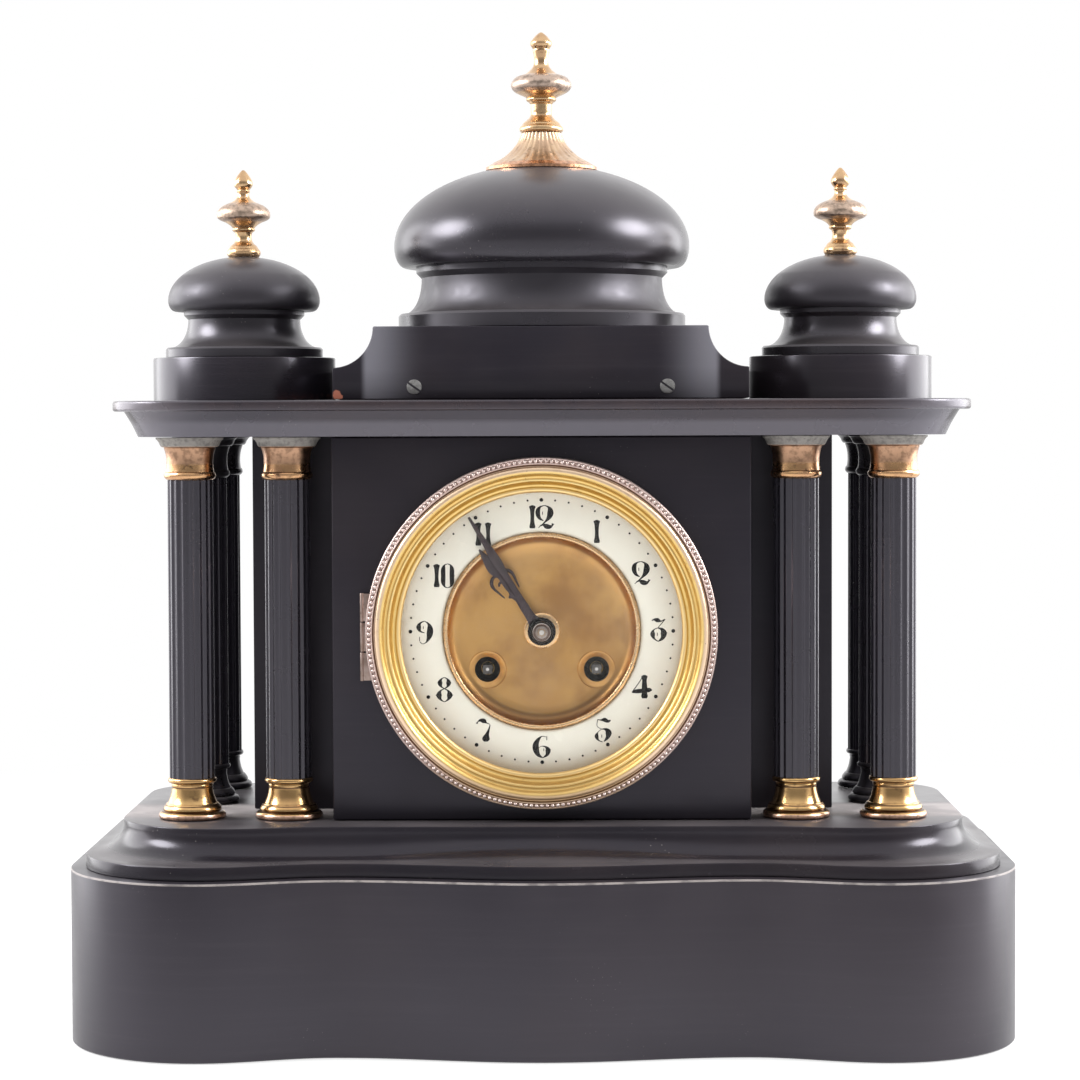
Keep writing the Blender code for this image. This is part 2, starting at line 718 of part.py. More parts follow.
def make_domes():
    profile, rise = dome_profile(
        DOME_RADIUS,
        DOME_RISE,
        DOME_LIP,
        DOME_LIP_INSET,
        DOME_NECK_RADIUS,
        DOME_NECK_HEIGHT,
        DOME_DISC_RADIUS,
        DOME_DISC_HEIGHT,
        SKIRT_RADIUS,
    )
    turned("dome", profile, FINE_STEPS, black_marble, None, (0.0, dome_y, dome_bottom))
    bore = SPIGOT_RADIUS + SEAT_GAP
    skirt_bottom = dome_bottom + rise + SEAT_GAP
    skirt = [(bore, SKIRT_HEIGHT)]
    for i, angle in enumerate(quarter(CURVE_STEPS)):
        radius = SKIRT_TOP_RADIUS + (SKIRT_RADIUS - SKIRT_TOP_RADIUS) * i / CURVE_STEPS
        skirt.append((radius, SKIRT_HEIGHT - (SKIRT_HEIGHT - SKIRT_RIM) * math.sin(angle)))
    skirt += [(SKIRT_RADIUS, 0.0), (bore, 0.0)]
    turned("dome_skirt", skirt, MEDIUM_STEPS, gilt_brass, None, (0.0, dome_y, skirt_bottom), True)
    finial_bottom = skirt_bottom + SKIRT_HEIGHT + SEAT_GAP
    finial = finial_profile(
        FINIAL_HEIGHT,
        FINIAL_RING_RADIUS,
        FINIAL_STEM_RADIUS,
        FINIAL_FOOT_RADIUS,
        FINIAL_BUD_RADIUS,
        SPIGOT_LENGTH + SKIRT_HEIGHT + SEAT_GAP,
    )
    turned("dome_finial", finial, SMALL_STEPS, gilt_brass, None, (0.0, dome_y, finial_bottom))
    side_profile, side_rise = dome_profile(
        SIDE_DOME_RADIUS,
        SIDE_DOME_RISE,
        SIDE_DOME_LIP,
        SIDE_DOME_LIP_INSET,
        SIDE_NECK_RADIUS,
        SIDE_NECK_HEIGHT,
        SIDE_DISC_RADIUS,
        SIDE_DISC_HEIGHT,
        SIDE_FOOT_RADIUS,
    )
    side_finial = finial_profile(
        SIDE_FINIAL_HEIGHT,
        SIDE_RING_RADIUS,
        SIDE_STEM_RADIUS,
        SIDE_FOOT_RADIUS,
        SIDE_BUD_RADIUS,
        SPIGOT_LENGTH,
    )
    side_finial_bottom = side_dome_bottom + side_rise + SEAT_GAP
    for side, sign in (("left", -1), ("right", 1)):
        spot = (sign * drum_x, dome_y)
        drum_top = drum_bottom + DRUM_HEIGHT
        rod(side + "_drum", DRUM_RADIUS, drum_bottom, drum_top, black_marble, None, spot, FINE_STEPS)
        dome_at = (*spot, side_dome_bottom)
        turned(side + "_dome", side_profile, MEDIUM_STEPS, black_marble, None, dome_at)
        finial_at = (*spot, side_finial_bottom)
        turned(side + "_finial", side_finial, SMALL_STEPS, gilt_brass, None, finial_at)


# Dial: a brass pan in the panel's hole carries the enamel chapter ring and the bezel's hinge

hinge_x = -(BEZEL_RADIUS + HINGE_RADIUS + SEAT_GAP)
hinge_level = bezel_back - SEAT_GAP / 2
hinge_reach = HINGE_RADIUS + SEAT_GAP + HINGE_LAP


def knuckle(name, low, high, parent, web_to, web_low, web_high, bored):
    """A hinge barrel along local Y about the parent's origin, with a web towards +X, as one helper."""
    barrel = rod(name, HINGE_RADIUS, low, high, None, parent)
    barrel.rotation_euler = (-math.pi / 2, 0.0, 0.0)
    half = (web_to - WEB_INSET) / 2
    web = flat(
        name + "_web",
        [box_outline(half, low + WEB_INSET, high - WEB_INSET, web_to - half)],
        web_low + WEB_INSET,
        web_high - WEB_INSET,
        None,
        parent,
    )
    boolean(barrel, web, "UNION")
    if bored:
        bore_radius = HINGE_PIN_RADIUS + SEAT_GAP
        bore = rod(name + "_bore", bore_radius, low - SEAT_GAP, high + SEAT_GAP, None, parent)
        bore.rotation_euler = (-math.pi / 2, 0.0, 0.0)
        boolean(barrel, bore, "DIFFERENCE")
    return barrel


def make_dial():
    inner_wall = pan_radius - PAN_WALL
    ring_inner = gilt_ring_radius - GILT_RING_WIDTH
    ring_front = chapter_front + GILT_RING_PROUD
    hole = hour_pipe_radius + RUNNING_GAP
    pan = turned(
        "dial_pan",
        [
            (BEZEL_RADIUS, flange_front),
            (BEZEL_RADIUS, SEAT_GAP),
            (pan_radius, SEAT_GAP),
            (pan_radius, pan_back),
            (hole, pan_back),
            (hole, pan_floor),
            (ring_inner, pan_floor),
            (ring_inner, ring_front),
            (gilt_ring_radius, ring_front),
            (gilt_ring_radius, pan_floor),
            (inner_wall, pan_floor),
            (inner_wall, flange_front),
        ],
        FINE_STEPS,
        aged_brass,
        dial_frame,
        loop=True,
    )
    low, high = pan_back - PAN_WALL, pan_floor + PAN_WALL
    for name, x in (("strike_hole", -WINDING_X), ("going_hole", WINDING_X)):
        place = (x, -WINDING_DROP)
        hole_cutter = rod(name, WINDING_HOLE_RADIUS, low, high, None, dial_frame, place, SMALL_STEPS)
        boolean(pan, hole_cutter, "DIFFERENCE")
    hinge_frame = empty_at("bezel_hinge_frame", (hinge_x, 0.0, hinge_level), parent=dial_frame)
    pin_half = HINGE_KNUCKLE * 1.5
    web_bottom = SEAT_GAP - hinge_level
    middle = knuckle(
        "pan_knuckle",
        -HINGE_KNUCKLE / 2,
        HINGE_KNUCKLE / 2,
        hinge_frame,
        hinge_reach,
        web_bottom,
        web_bottom + FLANGE_THICKNESS,
        False,
    )
    pin = rod("hinge_pin", HINGE_PIN_RADIUS, -pin_half, pin_half, None, hinge_frame, steps=PIN_STEPS)
    pin.rotation_euler = (-math.pi / 2, 0.0, 0.0)
    boolean(pan, middle, "UNION")
    boolean(pan, pin, "UNION")
    turned(
        "chapter_ring",
        [
            (inner_wall - SEAT_GAP, chapter_front),
            (inner_wall - SEAT_GAP, chapter_back),
            (gilt_ring_radius + SEAT_GAP, chapter_back),
            (gilt_ring_radius + SEAT_GAP, chapter_front),
        ],
        FINE_STEPS,
        white_enamel,
        dial_frame,
        loop=True,
    )
    return hinge_frame


def make_bezel(hinge_frame):
    rebate = sight_radius + GLASS_BEARING + SEAT_GAP
    lip_front = lip_back + SIGHT_LIP
    crest = BEZEL_PROUD
    bezel = turned(
        "bezel_ring",
        [
            (BEZEL_RADIUS - 0.0012, crest),
            (BEZEL_RADIUS, crest - 0.0014),
            (BEZEL_RADIUS, bezel_back),
            (rebate, bezel_back),
            (rebate, lip_back),
            (sight_radius, lip_back),
            (sight_radius, lip_front),
            (sight_radius + 0.0032, lip_front + 0.0024),
            (sight_radius + 0.0056, lip_front + 0.0018),
            (sight_radius + 0.0064, lip_front + 0.0034),
            (BEZEL_RADIUS - 0.0034, crest - 0.0014),
            (BEZEL_RADIUS - 0.0026, crest),
        ],
        FINE_STEPS,
        bezel_brass,
        dial_frame,
        loop=True,
    )
    inner_end = HINGE_KNUCKLE / 2 + SEAT_GAP
    outer_end = HINGE_KNUCKLE * 1.5
    for name, low, high in (("upper", inner_end, outer_end), ("lower", -outer_end, -inner_end)):
        level = bezel_back - hinge_level
        leaf = knuckle(
            name + "_knuckle",
            low,
            high,
            hinge_frame,
            hinge_reach,
            level,
            level + FLANGE_THICKNESS,
            True,
        )
        boolean(bezel, leaf, "UNION")
    edge = sight_radius - SEAT_GAP
    outer = sight_radius + GLASS_BEARING
    steps = [i / CURVE_STEPS for i in range(CURVE_STEPS + 1)]
    face = [(edge * t, glass_front + GLASS_SAG * (1 - t * t)) for t in steps]
    under = [(edge * t, glass_back + GLASS_SAG * (1 - t * t)) for t in reversed(steps)]
    rim = [(outer, glass_front), (outer, glass_back)]
    turned("bezel_glass", face + rim + under, FINE_STEPS, clear_glass, dial_frame)


# Hands: pierced steel, pointing up before they are turned to the time

def minute_hand_outline():
    tip = minute_hand_length
    hub = MINUTE_HUB_RADIUS
    half = [
        (0.0006, tip),
        (0.0011, tip * 0.80),
        (0.0018, tip * 0.70),
        (0.0021, tip * 0.60),
        (0.0013, tip * 0.48),
        (0.0014, tip * 0.30),
    ]
    root = [(hub * math.sin(a), hub * math.cos(a)) for a in (math.radians(20 + 20 * i) for i in range(9))]
    right = half + root
    return right + [(-x, y) for x, y in reversed(right)]


def hour_hand_outline():
    tip = hour_hand_length
    hub = HOUR_HUB_RADIUS
    half = [
        (0.0005, tip),
        (0.0014, tip * 0.90),
        (0.0022, tip * 0.80),
        (0.0014, tip * 0.71),
        (0.0046, tip * 0.68),
        (0.0054, tip * 0.62),
        (0.0046, tip * 0.55),
        (0.0016, tip * 0.49),
        (0.0015, tip * 0.34),
    ]
    root = [(hub * math.sin(a), hub * math.cos(a)) for a in (math.radians(22 + 22 * i) for i in range(8))]
    right = half + root
    return right + [(-x, y) for x, y in reversed(right)]


def hour_hand_piercing(sign):
    tip = hour_hand_length
    ring = [(0.0016, 0.65), (0.0036, 0.65), (0.0041, 0.61), (0.0036, 0.57), (0.0016, 0.54)]
    return [(sign * x, tip * y) for x, y in ring]


def make_hands():
    bore = CENTRE_ARBOR_RADIUS + SEAT_GAP
    flat(
        "minute_hand",
        [minute_hand_outline(), circle(bore, PIN_STEPS)],
        minute_hand_back,
        minute_hand_front,
        blued_steel,
        dial_frame,
        turn=MINUTE_HAND_ANGLE,
    )
    pipe_bore = CENTRE_ARBOR_RADIUS + RUNNING_GAP
    hour = flat(
        "hour_hand",
        [
            hour_hand_outline(),
            circle(pipe_bore, PIN_STEPS),
            hour_hand_piercing(1),
            hour_hand_piercing(-1),
        ],
        hour_hand_back,
        hour_hand_front,
        blued_steel,
        dial_frame,
        turn=HOUR_HAND_ANGLE,
    )
    pipe_end = front_plate_front + SEAT_GAP
    pipe = flat(
        "hour_pipe",
        [circle(hour_pipe_radius, PIN_STEPS), circle(pipe_bore, PIN_STEPS)],
        pipe_end,
        hour_hand_back + HAND_THICKNESS / 2,
        None,
        dial_frame,
        turn=HOUR_HAND_ANGLE,
    )
    boolean(hour, pipe, "UNION")
    nut_low = minute_hand_front + SEAT_GAP
    nut_high = nut_low + HAND_NUT_HEIGHT
    turned(
        "hand_nut",
        [
            (bore, nut_high),
            (HAND_NUT_RADIUS * 0.70, nut_high),
            (HAND_NUT_RADIUS, nut_high - HAND_NUT_HEIGHT / 3),
            (HAND_NUT_RADIUS, nut_low),
            (bore, nut_low),
        ],
        SMALL_STEPS,
        bright_steel,
        dial_frame,
        loop=True,
    )
    return nut_high


# Movement: plates and pillars, two barrels on winding arbors, and the going train up to the anchor

def gear_outline(teeth, module, tooth_angle):
    """Slim straight teeth about the pitch circle, one of them centred on tooth_angle."""
    pitch_radius = teeth * module / 2
    tip, root = pitch_radius + module * 0.55, pitch_radius - module * 0.75
    step = 2 * math.pi / teeth
    outline = []
    for i in range(teeth):
        middle = tooth_angle + step * i
        for radius, offset in ((root, -0.21), (tip, -0.10), (tip, 0.10), (root, 0.21)):
            angle = middle + step * offset
            outline.append((radius * math.cos(angle), radius * math.sin(angle)))
    return outline


def crossings(inner, outer, spokes, arm):
    """Openings between the arms of a wheel."""
    openings = []
    for i in range(spokes):
        start = 360 / spokes * i + arm
        end = 360 / spokes * (i + 1) - arm
        openings.append(arc_points((0, 0), outer, start, end, 3) + arc_points((0, 0), inner, end, start, 1))
    return openings


def posts(name, spots, radius, low, high, parent):
    """Parallel round posts as one helper."""
    work = bmesh.new()
    for x, y in spots:
        ring = bmesh.ops.create_cone(
            work,
            cap_ends=True,
            segments=PIN_STEPS,
            radius1=radius,
            radius2=radius,
            depth=high - low,
        )
        bmesh.ops.translate(work, verts=ring["verts"], vec=(x, y, (low + high) / 2))
    mesh = bpy.data.meshes.new(name)
    work.to_mesh(mesh)
    work.free()
    return add_object(name, mesh, None, parent)


def polar(radius, degrees):
    angle = math.radians(degrees)
    return (radius * math.cos(angle), radius * math.sin(angle))


going_place = (WINDING_X, -WINDING_DROP)
strike_place = (-WINDING_X, -WINDING_DROP)
escape_place = (0.0, ESCAPE_HEIGHT)
anchor_place = (0.0, anchor_height)
barrel_distance = math.hypot(WINDING_X, WINDING_DROP)
barrel_module = 2 * barrel_distance / (BARREL_TEETH + CENTRE_PINION_TEETH)
escape_module = 2 * ESCAPE_HEIGHT / (CENTRE_WHEEL_TEETH + ESCAPE_PINION_TEETH)


def make_plates():
    arbor_bore = WINDING_ARBOR_RADIUS + RUNNING_GAP
    centre_bore = CENTRE_ARBOR_RADIUS + RUNNING_GAP
    front = flat(
        "front_plate",
        [
            circle(MOVEMENT_RADIUS, FINE_STEPS),
            circle(centre_bore, PIN_STEPS),
            circle(arbor_bore, PIN_STEPS, going_place),
            circle(arbor_bore, PIN_STEPS, strike_place),
        ],
        front_plate_back,
        front_plate_front,
        aged_brass,
        dial_frame,
    )
    overlap = PLATE_THICKNESS / 2
    pillar_low = back_plate_front + SEAT_GAP
    pillars = posts(
        "pillars",
        [polar(PILLAR_CIRCLE, degrees) for degrees in (0, 60, 120, 180, 270)],
        PILLAR_RADIUS,
        pillar_low,
        front_plate_back + overlap,
        dial_frame,
    )
    feet = posts(
        "dial_feet",
        [polar(DIAL_FOOT_CIRCLE, degrees) for degrees in (30, 150, 270)],
        PILLAR_RADIUS,
        front_plate_front - overlap,
        pan_back - SEAT_GAP,
        dial_frame,
    )
    boolean(front, pillars, "UNION")
    boolean(front, feet, "UNION")
    anchor_bore = ANCHOR_ARBOR_RADIUS + RUNNING_GAP
    back = flat(
        "back_plate",
        [circle(MOVEMENT_RADIUS, FINE_STEPS), circle(anchor_bore, PIN_STEPS, anchor_place)],
        back_plate_back,
        back_plate_front,
        aged_brass,
        dial_frame,
    )
    cock_low = anchor_height + COCK_RISE
    cock_high = cock_low + COCK_HEIGHT
    cock = flat(
        "suspension_cock",
        [box_outline(PENDULUM_SETBACK / 2, cock_low, cock_high)],
        back_plate_back - COCK_DEPTH,
        back_plate_back + overlap,
        None,
        dial_frame,
    )
    bell_post = posts(
        "bell_post",
        [(BELL_X, -BELL_DROP)],
        BELL_POST_RADIUS,
        bell_crown - BELL_WALL,
        back_plate_back + overlap,
        dial_frame,
    )
    boolean(back, cock, "UNION")
    boolean(back, bell_post, "UNION")
    return cock_low


def make_barrels():
    bore = WINDING_ARBOR_RADIUS + RUNNING_GAP
    drum_front = great_wheel_front + BARREL_DRUM_LENGTH
    square_front = front_plate_front + WINDING_SQUARE_LENGTH
    arbor_low = back_plate_front + SEAT_GAP
    drum_back = great_wheel_front - WHEEL_THICKNESS
    lap = WHEEL_THICKNESS / 2
    toward_centre = math.atan2(WINDING_DROP, -WINDING_X)
    for name, place, tooth, wheel_front, drum_span in (
        ("going", going_place, toward_centre, great_wheel_front, (drum_back + lap, drum_front)),
        ("strike", strike_place, math.pi - toward_centre, drum_front, (drum_back, drum_front - lap)),
    ):
        barrel = flat(
            name + "_barrel",
            [gear_outline(BARREL_TEETH, barrel_module, tooth), circle(bore, PIN_STEPS)],
            wheel_front - WHEEL_THICKNESS,
            wheel_front,
            aged_brass,
            dial_frame,
            (*place, 0.0),
        )
        drum = flat(
            name + "_drum_shell",
            [circle(BARREL_DRUM_RADIUS, MEDIUM_STEPS), circle(bore, PIN_STEPS)],
            *drum_span,
            None,
            dial_frame,
            (*place, 0.0),
        )
        boolean(barrel, drum, "UNION")
        arbor = rod(
            name + "_arbor",
            WINDING_ARBOR_RADIUS,
            arbor_low,
            front_plate_front + WINDING_SQUARE / 2,
            bright_steel,
            dial_frame,
            place,
        )
        square = flat(
            name + "_square",
            [box_outline(WINDING_SQUARE / 2, -WINDING_SQUARE / 2, WINDING_SQUARE / 2)],
            front_plate_front + SEAT_GAP,
            square_front,
            None,
            dial_frame,
            (*place, 0.0),
        )
        boolean(arbor, square, "UNION")


def make_train(arbor_front):
    toward_barrel = math.atan2(-WINDING_DROP, WINDING_X)
    pinion_gap = math.pi / CENTRE_PINION_TEETH
    pinion_overrun = RUNNING_GAP * 2
    centre = flat(
        "centre_wheel",
        [gear_outline(CENTRE_WHEEL_TEETH, escape_module, math.pi / 2)]
        + crossings(0.0060, escape_module * CENTRE_WHEEL_TEETH / 2 - 0.0035, 4, 9),
        centre_wheel_front - WHEEL_THICKNESS,
        centre_wheel_front,
        aged_brass,
        dial_frame,
    )
    centre_pinion = flat(
        "centre_pinion",
        [gear_outline(CENTRE_PINION_TEETH, barrel_module, toward_barrel + pinion_gap)],
        great_wheel_front - WHEEL_THICKNESS - pinion_overrun,
        great_wheel_front + pinion_overrun,
        None,
        dial_frame,
    )
    arbor_low = back_plate_front + SEAT_GAP
    centre_arbor = rod("centre_arbor", CENTRE_ARBOR_RADIUS, arbor_low, arbor_front, None, dial_frame)
    boolean(centre, centre_arbor, "UNION")
    boolean(centre, centre_pinion, "UNION")
    tooth_root = ESCAPE_RADIUS * 0.74
    ratchet = []
    for i in range(ESCAPE_TEETH):
        start = 2 * math.pi * i / ESCAPE_TEETH
        step = 2 * math.pi / ESCAPE_TEETH
        for radius, offset in ((ESCAPE_RADIUS, 0.0), (ESCAPE_RADIUS * 0.97, 0.12), (tooth_root, 0.30)):
            angle = start + step * offset
            ratchet.append((radius * math.cos(angle), radius * math.sin(angle)))
    escape = flat(
        "escape_wheel",
        [ratchet],
        escape_front - WHEEL_THICKNESS / 2,
        escape_front,
        aged_brass,
        dial_frame,
        (*escape_place, 0.0),
    )
    escape_gap = math.pi / ESCAPE_PINION_TEETH
    escape_pinion = flat(
        "escape_pinion",
        [gear_outline(ESCAPE_PINION_TEETH, escape_module, -math.pi / 2 + escape_gap)],
        centre_wheel_front - WHEEL_THICKNESS - pinion_overrun,
        centre_wheel_front + pinion_overrun,
        None,
        dial_frame,
        (*escape_place, 0.0),
    )
    arbor_high = front_plate_back - SEAT_GAP
    escape_arbor = rod(
        "escape_arbor",
        ESCAPE_ARBOR_RADIUS,
        arbor_low,
        arbor_high,
        None,
        dial_frame,
        escape_place,
    )
    boolean(escape, escape_arbor, "UNION")
    boolean(escape, escape_pinion, "UNION")
    inner = ESCAPE_RADIUS + ANCHOR_CLEARANCE
    outer = inner + ANCHOR_WIDTH
    wheel_centre = (0.0, -ANCHOR_RISE)
    arch = arc_points(wheel_centre, outer, 30, 150, 8) + arc_points(wheel_centre, inner, 150, 30, 8)
    anchor = flat(
        "anchor",
        [arch],
        escape_front - WHEEL_THICKNESS,
        escape_front + WHEEL_THICKNESS / 2,
        bright_steel,
        dial_frame,
        (*anchor_place, 0.0),
    )
    crutch_front = back_plate_back - RUNNING_GAP
    crutch_back = crutch_front - WHEEL_THICKNESS / 2
    anchor_arbor = rod(
        "anchor_arbor",
        ANCHOR_ARBOR_RADIUS,
        crutch_back,
        arbor_high,
        None,
        dial_frame,
        anchor_place,
    )
    crutch = flat(
        "crutch",
        [box_outline(ANCHOR_ARBOR_RADIUS * 1.5, -CRUTCH_LENGTH, ANCHOR_ARBOR_RADIUS * 1.5)],
        crutch_back,
        crutch_front,
        None,
        dial_frame,
        (*anchor_place, 0.0),
    )
    prong = ANCHOR_ARBOR_RADIUS
    prong_x = PENDULUM_ROD_RADIUS + SEAT_GAP + prong / 2
    fork = flat(
        "crutch_fork",
        [
            [
                (-prong_x - prong / 2, crutch_front),
                (-prong_x - prong / 2, pendulum_level - PENDULUM_ROD_RADIUS),
                (-prong_x + prong / 2, pendulum_level - PENDULUM_ROD_RADIUS),
                (-prong_x + prong / 2, crutch_back),
                (prong_x - prong / 2, crutch_back),
                (prong_x - prong / 2, pendulum_level - PENDULUM_ROD_RADIUS),
                (prong_x + prong / 2, pendulum_level - PENDULUM_ROD_RADIUS),
                (prong_x + prong / 2, crutch_front),
            ]
        ],
        CRUTCH_LENGTH - prong * 2,
        CRUTCH_LENGTH,
        None,
        dial_frame,
        (*anchor_place, 0.0),
    )
    fork.rotation_euler = (math.pi / 2, 0.0, 0.0)
    boolean(anchor, anchor_arbor, "UNION")
    boolean(anchor, crutch, "UNION")
    boolean(anchor, fork, "UNION")


def make_pendulum(cock_low):
    pivot = empty_at("pendulum_pivot", (*anchor_place, pendulum_level), parent=dial_frame)
    bob_edge = BOB_THICKNESS * 0.2
    half = BOB_THICKNESS / 2
    bob = turned(
        "pendulum",
        [
            (0.0, half),
            (BOB_RADIUS * 0.45, half * 0.86),
            (BOB_RADIUS * 0.85, half * 0.50),
            (BOB_RADIUS, bob_edge / 2),
            (BOB_RADIUS, -bob_edge / 2),
            (BOB_RADIUS * 0.85, -half * 0.50),
            (BOB_RADIUS * 0.45, -half * 0.86),
            (0.0, -half),
        ],
        MEDIUM_STEPS,
        bell_metal,
        pivot,
        (0.0, -PENDULUM_LENGTH, 0.0),
    )
    rod_end = PENDULUM_LENGTH + BOB_RADIUS + PENDULUM_ROD_RADIUS * 3
    shaft = rod("pendulum_rod", PENDULUM_ROD_RADIUS, 0.0, rod_end, None, pivot)
    shaft.rotation_euler = (math.pi / 2, 0.0, 0.0)
    spring_top = cock_low - anchor_height - SEAT_GAP
    spring = flat(
        "suspension_spring",
        [box_outline(PENDULUM_ROD_RADIUS * 1.5, -PENDULUM_ROD_RADIUS * 4, spring_top)],
        -PENDULUM_ROD_RADIUS / 3,
        PENDULUM_ROD_RADIUS / 3,
        None,
        pivot,
    )
    boolean(bob, shaft, "UNION")
    boolean(bob, spring, "UNION")


def bowl_profile(bore, radius, depth):
    """Quarter curve from the bell's mouth in to its bore."""
    return [
        (bore + (radius - bore) * math.cos(angle), bell_mouth - depth * math.sin(angle))
        for angle in quarter(CURVE_STEPS)
    ]


def make_bell_and_hammer():
    bore = BELL_POST_RADIUS + SEAT_GAP
    outside = bowl_profile(bore, BELL_RADIUS, BELL_DEPTH)
    inside = bowl_profile(bore, BELL_RADIUS - BELL_WALL, BELL_DEPTH - BELL_WALL)
    bell_at = (BELL_X, -BELL_DROP, 0.0)
    turned("bell", outside + inside[::-1], MEDIUM_STEPS, bell_metal, dial_frame, bell_at, True)
    pivot_at = (HAMMER_PIVOT_X, -HAMMER_PIVOT_DROP)
    pivot = empty_at("hammer_pivot", (*pivot_at, 0.0), parent=dial_frame)
    head_x = BELL_X - BELL_RADIUS - RUNNING_GAP - HAMMER_HEAD_RADIUS - HAMMER_PIVOT_X
    head_y = HAMMER_PIVOT_DROP - BELL_DROP
    arm_length = math.hypot(head_x, head_y)
    arm_turn = math.atan2(-head_x, head_y)
    arm_back = bell_mouth - HAMMER_HEAD_RADIUS * 1.4
    arm_front = bell_mouth + HAMMER_HEAD_RADIUS * 0.6
    head = flat(
        "hammer",
        [circle(HAMMER_HEAD_RADIUS, SMALL_STEPS, (head_x, head_y))],
        arm_back,
        arm_front,
        bright_steel,
        pivot,
    )
    arm = flat(
        "hammer_arm",
        [box_outline(HAMMER_ARBOR_RADIUS * 0.8, 0.0, arm_length)],
        arm_front - HAMMER_ARBOR_RADIUS,
        arm_front,
        None,
        pivot,
        turn=arm_turn,
    )
    arbor = rod(
        "hammer_arbor",
        HAMMER_ARBOR_RADIUS * 1.4,
        arm_front - HAMMER_ARBOR_RADIUS * 2,
        back_plate_back - SEAT_GAP,
        None,
        pivot,
    )
    boolean(head, arm, "UNION")
    boolean(head, arbor, "UNION")


# Back: a ring tied to the dial pan by two straps, and its hinged door

def make_back():
    neck_outer = BACK_HOLE_RADIUS - SEAT_GAP
    neck_inner = neck_outer - BACK_NECK_WALL
    flange_radius = BACK_HOLE_RADIUS + BACK_FLANGE_WIDTH
    flange_inner = back_face - SEAT_GAP
    flange_outer = flange_inner - FLANGE_THICKNESS
    neck_end = back_face + CASE_WALL
    ring = turned(
        "back_ring",
        [
            (neck_outer, neck_end),
            (neck_outer, flange_inner),
            (flange_radius, flange_inner),
            (flange_radius, flange_outer),
            (neck_inner, flange_outer),
            (neck_inner, neck_end),
        ],
        FINE_STEPS,
        gilt_brass,
        dial_frame,
        loop=True,
    )
    strap_x = neck_outer - STRAP_THICKNESS / 2
    for name, sign in (("left_strap", -1), ("right_strap", 1)):
        strap = flat(
            name,
            [box_outline(STRAP_THICKNESS / 2, -STRAP_WIDTH / 2, STRAP_WIDTH / 2, sign * strap_x * 0.985)],
            neck_end - CASE_WALL / 2,
            pan_back - SEAT_GAP,
            None,
            dial_frame,
        )
        boolean(ring, strap, "UNION")
    door_front = flange_outer - SEAT_GAP
    pivot_level = door_front + SEAT_GAP / 2
    pivot_x = flange_radius + HINGE_RADIUS + SEAT_GAP
    pivot = empty_at("door_hinge_frame", (pivot_x, 0.0, pivot_level), (0.0, math.pi, 0.0), dial_frame)
    web_level = pivot_level - flange_outer - FLANGE_THICKNESS
    middle = knuckle(
        "ring_knuckle",
        -HINGE_KNUCKLE / 2,
        HINGE_KNUCKLE / 2,
        pivot,
        hinge_reach,
        web_level,
        web_level + FLANGE_THICKNESS,
        False,
    )
    pin_half = HINGE_KNUCKLE * 1.5
    pin = rod("door_pin", HINGE_PIN_RADIUS, -pin_half, pin_half, None, pivot)
    pin.rotation_euler = (-math.pi / 2, 0.0, 0.0)
    boolean(ring, middle, "UNION")
    boolean(ring, pin, "UNION")
    rim = flange_radius - BACK_FLANGE_WIDTH / 2
    dished = rim * 0.80
    door = turned(
        "back_door",
        [
            (0.0, door_front - DOOR_DISH),
            (dished, door_front - DOOR_DISH * 0.75),
            (rim, door_front),
            (flange_radius, door_front),
            (flange_radius, door_front - DOOR_THICKNESS),
            (rim, door_front - DOOR_THICKNESS),
            (dished, door_front - DOOR_THICKNESS - DOOR_DISH * 0.75),
            (0.0, door_front - DOOR_THICKNESS - DOOR_DISH),
        ],
        FINE_STEPS,
        gilt_brass,
        dial_frame,
    )
    inner_end = HINGE_KNUCKLE / 2 + SEAT_GAP
    outer_end = HINGE_KNUCKLE * 1.5
    leaf_level = pivot_level - door_front
    for name, low, high in (("upper_door", inner_end, outer_end), ("lower_door", -outer_end, -inner_end)):
        leaf = knuckle(
            name + "_knuckle",
            low,
            high,
            pivot,
            hinge_reach,
            leaf_level,
            leaf_level + DOOR_THICKNESS,
            True,
        )
        boolean(door, leaf, "UNION")


make_base()
make_case()
make_columns()
make_cornice_and_attic()
make_domes()
bezel_hinge = make_dial()
make_bezel(bezel_hinge)
train_front = make_hands()
cock_bottom = make_plates()
make_barrels()
make_train(train_front)
make_pendulum(cock_bottom)
make_bell_and_hammer()
make_back()
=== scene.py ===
import math

import bmesh
import bpy
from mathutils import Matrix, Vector
from mathutils.kdtree import KDTree


